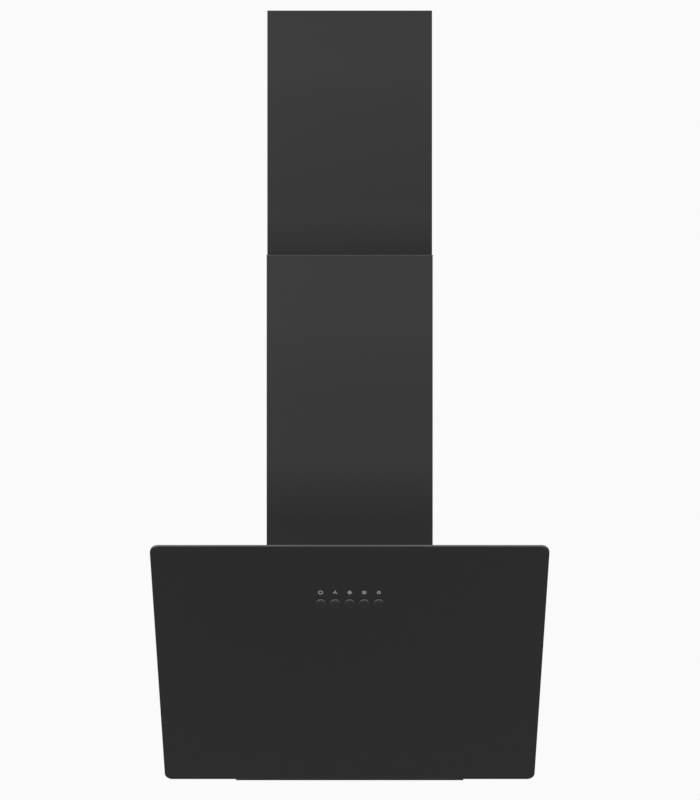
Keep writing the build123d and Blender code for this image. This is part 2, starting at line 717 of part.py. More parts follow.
def housing_half(side):
    """One half of the scroll housing, open at the middle and at the outlet."""
    with BuildPart() as half:
        with BuildSketch(wheel_plane):
            add(scroll_outline.sketch)
        extrude(amount=side * HOUSING_HALF_WIDTH)
        # flange under the top panel
        with BuildSketch(wheel_plane):
            with Locations(((outlet_back + outlet_front) / 2, housing_top - HOUSING_WALL / 2)):
                Rectangle(OUTLET_DEPTH + 2 * OUTLET_FLANGE, HOUSING_WALL)
        extrude(amount=side * (HOUSING_HALF_WIDTH + OUTLET_FLANGE))
        with BuildSketch(wheel_plane):
            add(scroll_inside.sketch)
        extrude(amount=side * (HOUSING_HALF_WIDTH - HOUSING_WALL), mode=Mode.SUBTRACT)
        with BuildSketch(wheel_plane.offset(side * HOUSING_HALF_WIDTH)):
            Circle(INLET_RADIUS)
        extrude(amount=-side * HOUSING_WALL, mode=Mode.SUBTRACT)
    return half


save(housing_half(-1), "blower_housing_left")
save(housing_half(1), "blower_housing_right")

# ---------------------------------------------------------------- impeller, shaft and motor

# each blade is a strip bent along its middle
blade_turn = math.degrees(BLADE_THICKNESS / WHEEL_INNER_RADIUS)
middle_radius = (WHEEL_INNER_RADIUS + WHEEL_RADIUS) / 2
middle_turn = BLADE_SWEEP / 2 - BLADE_BOW
rim_turn = BLADE_SWEEP + blade_turn / 2

with BuildSketch() as blade:
    Polygon(
        polar(WHEEL_INNER_RADIUS, 0),
        polar(middle_radius, middle_turn),
        polar(WHEEL_RADIUS, BLADE_SWEEP),
        polar(WHEEL_RADIUS, BLADE_SWEEP + blade_turn),
        polar(middle_radius, middle_turn + blade_turn),
        polar(WHEEL_INNER_RADIUS, blade_turn),
        align=None,
    )

with BuildPart() as impeller:
    with BuildSketch(wheel_plane):
        with PolarLocations(0, BLADE_COUNT):
            add(blade.sketch)
    extrude(amount=WHEEL_HALF_LENGTH - WHEEL_RIM_LENGTH, both=True)
    # the disc and the rims have a corner at every blade
    with BuildSketch(wheel_plane):
        RegularPolygon(WHEEL_RADIUS + WHEEL_RIM_LAP, BLADE_COUNT, rotation=rim_turn)
    extrude(amount=WHEEL_DISC / 2, both=True)
    for rim_start in (-WHEEL_HALF_LENGTH, WHEEL_HALF_LENGTH - WHEEL_RIM_LENGTH):
        with BuildSketch(wheel_plane.offset(rim_start)):
            RegularPolygon(WHEEL_RADIUS + WHEEL_RIM_LAP, BLADE_COUNT, rotation=rim_turn)
            RegularPolygon(
                WHEEL_INNER_RADIUS - WHEEL_RIM_LAP, BLADE_COUNT, rotation=rim_turn, mode=Mode.SUBTRACT
            )
        extrude(amount=WHEEL_RIM_LENGTH)
    with BuildSketch(wheel_plane.offset(-HUB_LENGTH)):
        Circle(HUB_RADIUS)
    extrude(amount=HUB_LENGTH)
    with BuildSketch(wheel_plane.offset(-HUB_LENGTH)):
        Circle(SHAFT_RADIUS)
    extrude(amount=HUB_LENGTH + WHEEL_DISC, mode=Mode.SUBTRACT)
save(impeller, "impeller")

with BuildPart() as motor_shaft:
    with BuildSketch(wheel_plane.offset(-HUB_LENGTH)):
        Circle(SHAFT_RADIUS)
    extrude(amount=HUB_LENGTH + MOTOR_START + MOTOR_BORE_DEPTH - FACE_GAP)
save(motor_shaft, "motor_shaft")

with BuildPart() as motor_body:
    with BuildSketch(wheel_plane.offset(MOTOR_START)):
        Circle(MOTOR_RADIUS)
    extrude(amount=MOTOR_LENGTH)
    with BuildSketch(wheel_plane.offset(MOTOR_START)):
        Circle(SHAFT_RADIUS + RUNNING_FIT)
    extrude(amount=MOTOR_BORE_DEPTH, mode=Mode.SUBTRACT)
save(motor_body, "motor_body")

foot_places = [polar(MOTOR_FOOT_CIRCLE, angle) for angle in MOTOR_ARM_ANGLES]

with BuildPart() as motor_bracket:
    with BuildSketch(wheel_plane.offset(motor_end)):
        RegularPolygon(MOTOR_RADIUS / 2, 6, rotation=MOTOR_ARM_ANGLES[0])
        for angle in MOTOR_ARM_ANGLES:
            with Locations(Rotation(0, 0, angle)):
                with Locations((MOTOR_FOOT_CIRCLE / 2, 0)):
                    Rectangle(MOTOR_FOOT_CIRCLE + MOTOR_ARM_WIDTH, MOTOR_ARM_WIDTH)
    extrude(amount=MOTOR_PLATE)
save(motor_bracket, "motor_bracket")

with BuildPart() as motor_spacers:
    with BuildSketch(wheel_plane.offset(HOUSING_HALF_WIDTH)):
        with Locations(*foot_places):
            RegularPolygon(SPACER_RADIUS, 6)
    extrude(amount=motor_end - HOUSING_HALF_WIDTH)
save(motor_spacers, "motor_spacers")

# ---------------------------------------------------------------- electrics

box_width, box_depth, box_height = TERMINAL_BOX_SIZE
box_back = Plane.XZ.offset(SHEET)
box_front = Plane.XZ.offset(SHEET + box_depth)

with BuildPart() as terminal_box:
    with BuildSketch(box_back):
        with Locations(TERMINAL_BOX_PLACE):
            Rectangle(box_width, box_height)
    extrude(amount=box_depth)
    offset(
        amount=-TERMINAL_BOX_WALL,
        openings=terminal_box.faces().sort_by(Axis.Y)[0],
        kind=Kind.INTERSECTION,
    )
save(terminal_box, "terminal_box")

with BuildPart() as terminal_box_lid:
    with BuildSketch(box_front):
        with Locations(TERMINAL_BOX_PLACE):
            Rectangle(box_width, box_height)
    extrude(amount=TERMINAL_BOX_WALL)
    chamfer(terminal_box_lid.faces().sort_by(Axis.Y)[0].edges(), length=TERMINAL_BOX_EDGE)
save(terminal_box_lid, "terminal_box_lid")

capacitor_width, capacitor_depth, capacitor_height = CAPACITOR_SIZE

with BuildPart() as motor_capacitor:
    with BuildSketch(box_back):
        with Locations(CAPACITOR_PLACE):
            Rectangle(capacitor_width, capacitor_height)
    extrude(amount=capacitor_depth)
    chamfer(motor_capacitor.faces().sort_by(Axis.Y)[0].edges(), length=DRIVER_EDGE)
save(motor_capacitor, "motor_capacitor")

driver_width, driver_depth, driver_height = DRIVER_SIZE

with BuildPart() as lamp_driver:
    with BuildSketch(Plane.XY.offset(body_low + SHEET)):
        with Locations(DRIVER_PLACE):
            Rectangle(driver_width, driver_depth)
    extrude(amount=driver_height)
    chamfer(lamp_driver.faces().sort_by(Axis.Z)[-1].edges(), length=DRIVER_EDGE)
save(lamp_driver, "lamp_driver")

# ---------------------------------------------------------------- glass front panel

button_places = [
    ((number - (len(BUTTON_NAMES) - 1) / 2) * BUTTON_PITCH, button_along)
    for number in range(len(BUTTON_NAMES))
]
button_row = (len(BUTTON_NAMES) - 1) * BUTTON_PITCH
hinge_places = (-HINGE_SPACING / 2, HINGE_SPACING / 2)
catch_places = ((-CATCH_SPACING / 2, CATCH_ALONG), (CATCH_SPACING / 2, CATCH_ALONG))

with BuildPart() as glass_panel:
    with BuildSketch(panel_plane):
        with Locations((0, GLASS_LENGTH / 2)):
            RectangleRounded(GLASS_WIDTH, GLASS_LENGTH, GLASS_CORNER)
    extrude(amount=-GLASS_THICKNESS)
    front_rim = glass_panel.faces().filter_by(panel_plane).sort_by(Axis.Y)[0].edges()
    chamfer(front_rim, length=GLASS_CHAMFER)
    with BuildSketch(panel_plane):
        with Locations(*button_places):
            Circle(BUTTON_RADIUS + BUTTON_FIT)
    extrude(amount=-GLASS_THICKNESS, mode=Mode.SUBTRACT)
save(glass_panel, "glass_panel")

tray_width = GLASS_WIDTH - 2 * TRAY_INSET
tray_length = GLASS_LENGTH - 2 * TRAY_INSET
block_length = button_row + 2 * BUTTON_RADIUS + 2 * BLOCK_MARGIN

with BuildPart() as panel_backing:
    with BuildSketch(panel_plane.offset(tray_face)):
        with Locations((0, GLASS_LENGTH / 2)):
            Rectangle(tray_width, tray_length)
    extrude(amount=-TRAY_DEPTH)
    with BuildSketch(panel_plane.offset(tray_back)):
        with Locations((0, GLASS_LENGTH / 2)):
            Rectangle(tray_width - 2 * SHEET, tray_length - 2 * SHEET)
    extrude(amount=-TRAY_DEPTH, mode=Mode.SUBTRACT)
    # window for the buttons
    with BuildSketch(panel_plane.offset(tray_face)):
        with Locations((0, button_along)):
            Rectangle(block_length - 2 * BLOCK_LUG, BLOCK_HEIGHT - BLOCK_LUG)
    extrude(amount=-SHEET, mode=Mode.SUBTRACT)
    # the top fold is cut away round each hinge
    with BuildSketch(panel_plane.offset(tray_back)):
        with Locations(*[(x, GLASS_LENGTH - TRAY_INSET) for x in hinge_places]):
            Rectangle(HINGE_NOTCH, 4 * SHEET)
    extrude(amount=-TRAY_DEPTH, mode=Mode.SUBTRACT)
save(panel_backing, "panel_backing")

with BuildPart() as strike_plates:
    with BuildSketch(panel_plane.offset(tray_back)):
        with Locations(*catch_places):
            Rectangle(STRIKE_SIZE, STRIKE_SIZE)
    extrude(amount=-STRIKE_THICKNESS)
save(strike_plates, "strike_plates")

post_face = tray_back - STRIKE_THICKNESS - FACE_GAP

with BuildPart() as catch_posts:
    with BuildSketch(panel_plane.offset(-FRAME_SETBACK)):
        with Locations(*catch_places):
            Rectangle(CATCH_POST_SIZE, CATCH_POST_SIZE)
    extrude(amount=post_face + FRAME_SETBACK)
    with BuildSketch(panel_plane.offset(post_face)):
        with Locations(*catch_places):
            Rectangle(CATCH_MAGNET_SIZE, CATCH_MAGNET_SIZE)
    extrude(amount=-CATCH_MAGNET_LENGTH, mode=Mode.SUBTRACT)
save(catch_posts, "catch_posts")

with BuildPart() as catch_magnets:
    with BuildSketch(panel_plane.offset(post_face)):
        with Locations(*catch_places):
            Rectangle(CATCH_MAGNET_SIZE, CATCH_MAGNET_SIZE)
    extrude(amount=-CATCH_MAGNET_LENGTH)
save(catch_magnets, "catch_magnets")

# ---------------------------------------------------------------- hinges

hinge_y, hinge_z = slope_point(hinge_along, -HINGE_SETBACK)
frame_top_y = slope_y(body_top, -FRAME_SETBACK)
leaf_back = tray_back - HINGE_SHEET
hinge_sides = ((-1, hinge_places[0]), (1, hinge_places[1]))
leaf_places = [
    (x - side * LEAF_WIDTH / 2, hinge_along - LEAF_LENGTH / 2) for side, x in hinge_sides
]

with BuildPart() as hinge_leaves:
    with BuildSketch(panel_plane.offset(tray_back)):
        with Locations(*leaf_places):
            Rectangle(LEAF_WIDTH, LEAF_LENGTH)
    extrude(amount=-HINGE_SHEET)
    for side, x in hinge_sides:
        with BuildSketch(Plane.YZ.offset(x)):
            Polygon(
                slope_point(hinge_along - LEAF_LENGTH, tray_back),
                slope_point(hinge_along + LEAF_EAR_RADIUS, tray_back),
                slope_point(hinge_along + LEAF_EAR_RADIUS, -HINGE_SETBACK),
                slope_point(hinge_along + LEAF_EAR_RADIUS / 2, -HINGE_SETBACK - LEAF_EAR_RADIUS),
                slope_point(hinge_along - LEAF_EAR_RADIUS / 2, -HINGE_SETBACK - LEAF_EAR_RADIUS),
                slope_point(hinge_along - LEAF_EAR_RADIUS, -HINGE_SETBACK),
                align=None,
            )
            with Locations((hinge_y, hinge_z)):
                Circle(HINGE_PIN_RADIUS, mode=Mode.SUBTRACT)
        extrude(amount=-side * HINGE_SHEET)
save(hinge_leaves, "hinge_leaves")

base_start = frame_top_y + BRACKET_BASE_INSET
base_end = base_start + BRACKET_BASE_LENGTH

with BuildPart() as hinge_brackets:
    for side, x in hinge_sides:
        ear_face = x + side * FACE_GAP
        with BuildSketch(Plane.XY.offset(body_top)):
            with Locations((ear_face + side * BRACKET_BASE_WIDTH / 2, (base_start + base_end) / 2)):
                Rectangle(BRACKET_BASE_WIDTH, BRACKET_BASE_LENGTH)
        extrude(amount=HINGE_SHEET)
        with BuildSketch(Plane.YZ.offset(ear_face)):
            Polygon(
                (base_end, body_top),
                (base_end, body_top + 2 * HINGE_SHEET),
                (hinge_y, hinge_z + BRACKET_EAR_RADIUS),
                (hinge_y - BRACKET_EAR_RADIUS, hinge_z + BRACKET_EAR_RADIUS / 2),
                (hinge_y - BRACKET_EAR_RADIUS, hinge_z - BRACKET_EAR_RADIUS / 2),
                (hinge_y, hinge_z - BRACKET_EAR_RADIUS),
                (base_start, body_top),
                align=None,
            )
            with Locations((hinge_y, hinge_z)):
                Circle(HINGE_PIN_RADIUS + RUNNING_FIT, mode=Mode.SUBTRACT)
        extrude(amount=side * HINGE_SHEET)
save(hinge_brackets, "hinge_brackets")

with BuildPart() as hinge_pins:
    for side, x in hinge_sides:
        with BuildSketch(Plane.YZ.offset(x - side * HINGE_SHEET)):
            with Locations((hinge_y, hinge_z)):
                Circle(HINGE_PIN_RADIUS)
        extrude(amount=side * (3 * HINGE_SHEET + FACE_GAP))
save(hinge_pins, "hinge_pins")

# ---------------------------------------------------------------- switch block and buttons

block_face = tray_back - BLOCK_FLANGE

with BuildPart() as switch_block:
    with BuildSketch(panel_plane.offset(tray_back)):
        with Locations((0, button_along)):
            Rectangle(block_length, BLOCK_HEIGHT + BLOCK_LUG)
    extrude(amount=-BLOCK_FLANGE)
    with BuildSketch(panel_plane.offset(block_face)):
        with Locations((0, button_along)):
            Rectangle(block_length - 2 * BLOCK_LUG, BLOCK_HEIGHT)
    extrude(amount=-BLOCK_DEPTH)
    # one pocket for the caps, and a square guide for each stem
    with BuildSketch(panel_plane.offset(tray_back)):
        with Locations((0, button_along)):
            Rectangle(button_row + 2 * (BUTTON_RADIUS + BUTTON_FIT), 2 * (BUTTON_RADIUS + BUTTON_FIT))
    extrude(amount=-POCKET_DEPTH - BLOCK_FLANGE, mode=Mode.SUBTRACT)
    with BuildSketch(panel_plane.offset(tray_back)):
        with Locations(*button_places):
            Rectangle(STEM_SIZE + 2 * STEM_FIT, STEM_SIZE + 2 * STEM_FIT)
    extrude(amount=tray_face - STEM_LENGTH - BUTTON_TRAVEL - OVER_TRAVEL - tray_back, mode=Mode.SUBTRACT)
save(switch_block, "switch_block")


def push_button(place):
    """Round cap on a square stem."""
    with BuildPart() as button:
        with BuildSketch(panel_plane.offset(tray_face)):
            with Locations(place):
                Circle(BUTTON_RADIUS)
        extrude(amount=GLASS_THICKNESS + BUTTON_PROUD)
        with BuildSketch(panel_plane.offset(tray_face)):
            with Locations(place):
                Rectangle(STEM_SIZE, STEM_SIZE)
        extrude(amount=-STEM_LENGTH)
    return button


for name, place in zip(BUTTON_NAMES, button_places):
    save(push_button(place), name)
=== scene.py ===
import json
import logging
import math
from dataclasses import dataclass, field
from enum import Enum
from itertools import product
from typing import Iterable, Sequence

import bmesh
import bpy
from mathutils import Matrix, Vector


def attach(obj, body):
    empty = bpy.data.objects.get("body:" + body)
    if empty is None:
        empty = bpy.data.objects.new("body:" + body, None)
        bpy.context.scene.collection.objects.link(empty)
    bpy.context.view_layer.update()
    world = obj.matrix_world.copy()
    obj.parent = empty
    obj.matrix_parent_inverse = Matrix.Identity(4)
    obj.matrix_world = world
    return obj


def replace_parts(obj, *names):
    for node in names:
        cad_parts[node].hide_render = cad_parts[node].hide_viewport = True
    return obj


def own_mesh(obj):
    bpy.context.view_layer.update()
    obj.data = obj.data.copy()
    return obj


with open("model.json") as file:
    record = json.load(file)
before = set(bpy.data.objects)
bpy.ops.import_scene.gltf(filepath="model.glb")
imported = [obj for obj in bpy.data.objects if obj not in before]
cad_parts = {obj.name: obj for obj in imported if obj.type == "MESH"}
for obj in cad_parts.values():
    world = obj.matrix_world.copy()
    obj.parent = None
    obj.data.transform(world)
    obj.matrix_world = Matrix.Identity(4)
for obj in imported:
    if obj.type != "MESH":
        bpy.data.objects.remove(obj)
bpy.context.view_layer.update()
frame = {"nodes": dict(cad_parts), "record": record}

# Chimney range hood with an angled glass front. Metres, the wall at Y = 0, the front towards -Y.

log = logging.getLogger("range_hood")

Point = tuple[float, float]
Triple = tuple[float, float, float]
Points = tuple[Point, ...]
Numbers = tuple[float, ...]
Socket = bpy.types.NodeSocket
Feed = Socket | float | Triple
Shape = bmesh.types.BMesh
Edges = list[bmesh.types.BMEdge]

MM = 0.001
WELD = 1e-6
SIDES = (-1, 1)
CORNERS = tuple(product(SIDES, SIDES))
UPWARD, DOWNWARD, FORWARD = (0, 0, 1), (0, 0, -1), (0, -1, 0)
PANEL_TILT = math.radians(32.0)
OUTWARD = (0.0, -math.cos(PANEL_TILT), -math.sin(PANEL_TILT))
UP_SLOPE = (0.0, -math.sin(PANEL_TILT), math.cos(PANEL_TILT))


def mm(*lengths: float) -> Numbers:
    """Lengths given in millimetres."""
    return tuple(length * MM for length in lengths)


def outline(*points: Point, start: float = 0.0) -> Points:
    """Points given in millimetres, the first value of each counted from a start."""
    return tuple((start + first * MM, second * MM) for first, second in points)


# ------------------------------------------------------------------ finishes


class Graph:
    """Nodes of a material or of the world, with short calls for adding them."""

    def __init__(self, owner: bpy.types.ID, shader: str, output: str) -> None:
        """Start with one shader on the output.

        Args:
            owner: The material or the world.
            shader: The shader node's type name.
            output: The output node's type name.
        """
        owner.use_nodes = True
        self.tree = owner.node_tree
        self.tree.nodes.clear()
        self.shader = self.node(shader)
        self.node(output, {"Surface": self.shader.outputs[0]})

    def node(
        self, kind: str, inputs: dict[str | int, Feed] | None = None, **settings: str
    ) -> bpy.types.Node:
        """Add a node.

        Args:
            kind: The node's type name.
            inputs: Its inputs by name or number, each with a value or the output it follows.
            settings: Its properties by name.

        Returns:
            The new node.
        """
        added = self.tree.nodes.new(kind)
        for name, value in settings.items():
            setattr(added, name, value)
        for name, value in (inputs or {}).items():
            self.give(added.inputs[name], value)
        return added

    def give(self, target: Socket, value: Feed) -> None:
        """Set an input to a value, or join it to an output.

        Args:
            target: The input.
            value: A number, a vector, a colour or an output.
        """
        if isinstance(value, Socket):
            self.tree.links.new(value, target)
        else:
            target.default_value = (*value, 1.0) if target.type == "RGBA" else value

    def feed(self, name: str, value: Feed) -> None:
        """Give one of the shader's inputs a value or an output."""
        self.give(self.shader.inputs[name], value)

    def coordinates(self, kind: str = "Object") -> Socket:
        """One kind of the surface's coordinates."""
        return self.node("ShaderNodeTexCoord").outputs[kind]

    def noise(self, scale: float, detail: float = 2.0, stretch: Triple = (1, 1, 1)) -> Socket:
        """Noise on object coordinates.

        Args:
            scale: Features per metre.
            detail: Octaves of finer noise.
            stretch: Extra scale along each axis.

        Returns:
            The noise value from 0 to 1.
        """
        place = {"Vector": self.coordinates(), "Scale": stretch}
        vector = self.node("ShaderNodeMapping", place).outputs["Vector"]
        texture = {"Vector": vector, "Scale": scale, "Detail": detail}
        return self.node("ShaderNodeTexNoise", texture).outputs["Fac"]

    def span(self, value: Socket, source: Point, target: Point) -> Socket:
        """Map a value from one range to another, held at its ends.

        Args:
            value: The value to map.
            source: Its low and high limit.
            target: What those become.

        Returns:
            The mapped value.
        """
        names = ("From Min", "From Max", "To Min", "To Max")
        limits = dict(zip(names, (*source, *target)))
        return self.node("ShaderNodeMapRange", {"Value": value, **limits}).outputs["Result"]

    def blend(self, share: Feed, low: Feed, high: Feed, way: str = "MIX") -> Socket:
        """Mix two colours.

        Args:
            share: How much of the second colour.
            low: The first colour.
            high: The second colour.
            way: How they mix, by the node's own name for it.

        Returns:
            The mixed colour.
        """
        mix = self.node("ShaderNodeMix", {"Factor": share}, data_type="RGBA", blend_type=way)
        colours = [socket for socket in mix.inputs if socket.type == "RGBA"]
        for socket, value in zip(colours, (low, high)):
            self.give(socket, value)
        return next(socket for socket in mix.outputs if socket.type == "RGBA")


def grey(level: float) -> Triple:
    """Colour of three equal channels."""
    return (level, level, level)


def shades(colour: Triple, variation: float) -> list[Triple]:
    """Colour made darker and lighter by the same share."""
    return [tuple(channel * (1 + side * variation) for channel in colour) for side in SIDES]


@dataclass(frozen=True)
class Finish:
    """Surface with a fine texture, the same all over.

    Attributes:
        label: What it is, for the material's name.
        colour: Base colour, linear.
        roughness: Mean roughness.
        metallic: 1 for bare metal.
        grain: Texture features per metre.
        relief: Height of the texture in metres.
        variation: How far the colour drifts, as a share.
        patch: Texture features across a patch of drifting colour.
        sheen: Lowest and highest roughness, as shares of its mean.
        swing: The part of a noise's range that the roughness follows.
        strength: How strongly the relief shows.
        specular: Strength of its own shine.
    """

    label: str
    colour: Triple
    roughness: float = 0.5
    metallic: float = 0.0
    grain: float = 900.0
    relief: float = 0.00005
    variation: float = 0.08
    patch: float = 60.0
    sheen: Point = (0.9, 1.1)
    swing: Point = (0.3, 0.7)
    strength: float = 0.25
    specular: float = 0.5

    def material(self) -> bpy.types.Material:
        """Build the material where it isn't there yet.

        Returns:
            The material.
        """
        name = f"{self.label}_finish"
        known = bpy.data.materials.get(name)
        if known:
            return known
        made = bpy.data.materials.new(name)
        graph = Graph(made, "ShaderNodeBsdfPrincipled", "ShaderNodeOutputMaterial")
        graph.feed("Metallic", self.metallic)
        graph.feed("Specular IOR Level", self.specular)
        self.dress(graph)
        return made

    def dress(self, graph: Graph) -> None:
        """Give the shader its colour, roughness and bumps.

        Args:
            graph: The material's nodes.
        """
        patches = graph.noise(self.grain / self.patch, detail=3)
        graph.feed("Base Color", self.drifting(graph, patches))
        self.texture(graph, graph.noise(self.grain))

    def drifting(self, graph: Graph, drift: Socket) -> Socket:
        """Colour that drifts with a value from 0 to 1."""
        return graph.blend(drift, *shades(self.colour, self.variation))

    def texture(self, graph: Graph, height: Socket) -> None:
        """Let the roughness and the bumps follow a noise."""
        self.roughen(graph, height, self.swing)
        self.emboss(graph, height)

    def roughen(self, graph: Graph, value: Socket, source: Point) -> None:
        """Let the roughness follow a value over part of its range."""
        target = tuple(self.roughness * share for share in self.sheen)
        graph.feed("Roughness", graph.span(value, source, target))

    def emboss(self, graph: Graph, height: Socket) -> None:
        """Let the bumps follow a noise."""
        inputs = {"Strength": self.strength, "Distance": self.relief, "Height": height}
        graph.feed("Normal", graph.node("ShaderNodeBump", inputs).outputs["Normal"])


@dataclass(frozen=True)
class SatinPaint(Finish):
    """Sprayed satin paint with a fine orange peel, with painted shade and sheen along a sheet's
    height.

    Attributes:
        low: Height of the sheet's lower edge.
        high: Height of its upper edge.
        stops: Share of the height, and the tone of painted shade and sheen there.
    """

    patch: float = 200.0
    sheen: Point = (0.92, 1.08)
    strength: float = 0.15
    specular: float = 0.25
    low: float = -1.0
    high: float = 1.0
    stops: Points = ((0.0, 1.0), (1.0, 1.0))

    def drifting(self, graph: Graph, drift: Socket) -> Socket:
        """Let the colour drift, and multiply it by painted shade and sheen along Z.

        Args:
            graph: The material's nodes.
            drift: The value from 0 to 1 that it drifts with.

        Returns:
            The colour.
        """
        # painted shade and sheen: a ramp of tones along the height multiplies the paint's colour
        axes = graph.node("ShaderNodeSeparateXYZ", {"Vector": graph.coordinates()})
        rise = graph.span(axes.outputs["Z"], (self.low, self.high), (0, 1))
        painted_light_ramp = graph.node("ShaderNodeValToRGB", {"Fac": rise})
        points = painted_light_ramp.color_ramp.elements
        while len(points) < len(self.stops):
            points.new(0.5)
        for point, (position, painted_light_level) in zip(points, self.stops):
            point.position = position
            point.color = (*grey(painted_light_level), 1.0)
        patchy = super().drifting(graph, drift)
        return graph.blend(1.0, painted_light_ramp.outputs["Color"], patchy, "MULTIPLY")


@dataclass(frozen=True)
class BlackGlass(Finish):
    """Polished glass, black behind, with polished chamfers and ground edges.

    Attributes:
        edge_colour: Colour of the ground edges.
        edge_variation: How far that colour drifts, as a share.
        edge_roughness: Roughness of the ground edges.
        edge_normals: Share of a normal square to the face where ground starts, and is full.
        index: Refractive index.
    """

    edge_colour: Triple = grey(0.1)
    edge_variation: float = 0.2
    edge_roughness: float = 0.5
    edge_normals: Point = (0.6, 0.5)
    index: float = 1.5

    def dress(self, graph: Graph) -> None:
        """Polish the faces and their chamfers, and turn the rest into ground edge.

        Args:
            graph: The material's nodes.
        """
        graph.feed("IOR", self.index)
        normals = {0: graph.coordinates("Normal"), 1: OUTWARD}
        facing = graph.node("ShaderNodeVectorMath", normals, operation="DOT_PRODUCT")
        flat = graph.node("ShaderNodeMath", {0: facing.outputs["Value"]}, operation="ABSOLUTE")
        ground = graph.span(flat.outputs["Value"], self.edge_normals, (0, 1))
        grit = graph.noise(self.grain, detail=3)
        edge = graph.blend(grit, *shades(self.edge_colour, self.edge_variation))
        graph.feed("Base Color", graph.blend(ground, self.colour, edge))
        target = (self.roughness, self.edge_roughness)
        graph.feed("Roughness", graph.span(ground, (0, 1), target))


@dataclass(frozen=True)
class ZincSheet(Finish):
    """Galvanised sheet with its crystals.

    Attributes:
        dust: Bumps across one crystal.
    """

    sheen: Point = (0.8, 1.25)
    strength: float = 0.1
    dust: float = 8.0

    def dress(self, graph: Graph) -> None:
        """Colour each crystal a little differently.

        Args:
            graph: The material's nodes.
        """
        crystals = {"Vector": graph.coordinates(), "Scale": self.grain}
        colour = graph.node("ShaderNodeTexVoronoi", crystals, feature="F1").outputs["Color"]
        tones = graph.node("ShaderNodeSeparateColor", {"Color": colour}).outputs
        graph.feed("Base Color", self.drifting(graph, tones["Red"]))
        self.roughen(graph, tones["Green"], (0, 1))
        self.emboss(graph, graph.noise(self.grain * self.dust))


@dataclass(frozen=True)
class BrushedMetal(Finish):
    """Metal brushed or drawn along one axis.

    Attributes:
        along: The axis that the lines follow, as X, Y or Z.
        squeeze: Scale of the noise along that axis.
    """

    sheen: Point = (0.8, 1.2)
    strength: float = 0.12
    along: str = "X"
    squeeze: float = 0.02

    def dress(self, graph: Graph) -> None:
        """Stretch a fine noise into lines.

        Args:
            graph: The material's nodes.
        """
        stretch = tuple(self.squeeze if axis == self.along else 1.0 for axis in "XYZ")
        lines = graph.noise(self.grain, 3, stretch)
        graph.feed("Base Color", self.drifting(graph, lines))
        self.texture(graph, lines)


class Finishes(Enum):
    """Every finish on the hood, named for the record's material slots where it has one."""

    black_glass = BlackGlass("black_glass", (0.0034, 0.0034, 0.0035), 0.04, grain=3000)
    # The chimney sections carry painted shade and sheen: each is darker towards its lower edge and
    # lighter higher up.
    upper_paint = SatinPaint(
        "upper_chimney_paint_and_painted_light", grey(0.0245), 0.5, variation=0.03, low=0.631,
        high=1.0165,
        stops=(
            (0.0, 0.2), (0.06, 0.4), (0.11, 0.53), (0.16, 0.66), (0.26, 0.6), (0.36, 0.65),
            (0.65, 0.73), (0.75, 0.85), (1.0, 0.78),
        ),
    )
    chimney_paint = SatinPaint(
        "lower_chimney_paint_and_painted_light", grey(0.0245), 0.5, variation=0.03, low=0.156,
        high=0.631,
        stops=(
            (0.0, 0.6), (0.04, 0.6), (0.12, 0.47), (0.17, 0.58), (0.23, 0.7), (0.28, 0.85),
            (0.33, 0.95), (0.52, 0.85), (0.68, 0.91), (0.76, 1.0), (1.0, 0.96),
        ),
    )
    # Painted highlight: the hem is much lighter than the chimney paint, for the light line along
    # the lower section's top edge.
    hem_paint = SatinPaint("hem_paint", grey(0.085), 0.45, variation=0.03)
    body_paint = SatinPaint("body_paint", (0.016, 0.016, 0.0165), 0.55, grain=1400)
    galvanised_steel = ZincSheet(
        "galvanised_steel", (0.45, 0.46, 0.47), 0.46, 1.0, grain=90, relief=0.00002, variation=0.14
    )
    filter_frame = BrushedMetal(
        "filter_aluminium", (0.6, 0.61, 0.62), 0.36, 1.0, grain=1500, relief=0.00002
    )
    filter_mesh = BrushedMetal(
        "mesh_aluminium", (0.55, 0.56, 0.57), 0.42, 1.0, grain=2500, along="Z"
    )
    latch_plastic = Finish("black_fittings_plastic", grey(0.018), 0.45)
    collar_plastic = Finish("collar_plastic", (0.028, 0.028, 0.029), 0.5)
    housing_plastic = Finish("housing_plastic", (0.09, 0.095, 0.1), 0.55, grain=700)
    impeller_plastic = Finish("impeller_plastic", (0.5, 0.5, 0.48), 0.45)
    motor_casing = BrushedMetal("motor_can", (0.5, 0.5, 0.51), 0.35, 1.0, grain=900)
    machined_steel = BrushedMetal("bright_steel", grey(0.62), 0.28, 1.0, grain=2600)
    magnet = Finish("magnet_ceramic", (0.05, 0.05, 0.052), 0.6, grain=2200)
    electrical_plastic = Finish("electrical_plastic", (0.62, 0.62, 0.6), 0.45)
    switch_plastic = Finish("switch_plastic", (0.03, 0.03, 0.031), 0.4)
    button_plastic = Finish("button_plastic", grey(0.006), 0.16, grain=2500, relief=0.00001)
    lamp_trim = BrushedMetal("lamp_trim", grey(0.65), 0.3, 1.0, grain=1800)
    lamp_diffuser = Finish("lamp_diffuser", (0.85, 0.85, 0.82), 0.35, variation=0.03)
    # Painted highlight: a light satin skin round each black cap's side stands in for the reflection
    # along its upper rim.
    sleeve_satin = Finish("button_rim_highlight", grey(0.13), 0.42, grain=3500, relief=0.00001)
    printed_ink = Finish("printed_ink", grey(0.3), 0.6, grain=4000, relief=0.00001)
    rubber = Finish("black_rubber", grey(0.012), 0.75, grain=1800)
    copper = BrushedMetal("winding_copper", (0.6, 0.26, 0.11), 0.4, 1.0, grain=3000)

    def apply(self, piece: bpy.types.Object) -> None:
        """Put this finish on every slot of a piece.

        Args:
            piece: The piece, or a node of the frame.
        """
        material = self.value.material()
        if not piece.data.materials:
            piece.data.materials.append(material)
        for slot in piece.material_slots:
            slot.material = material


# ------------------------------------------------------------------ mesh work


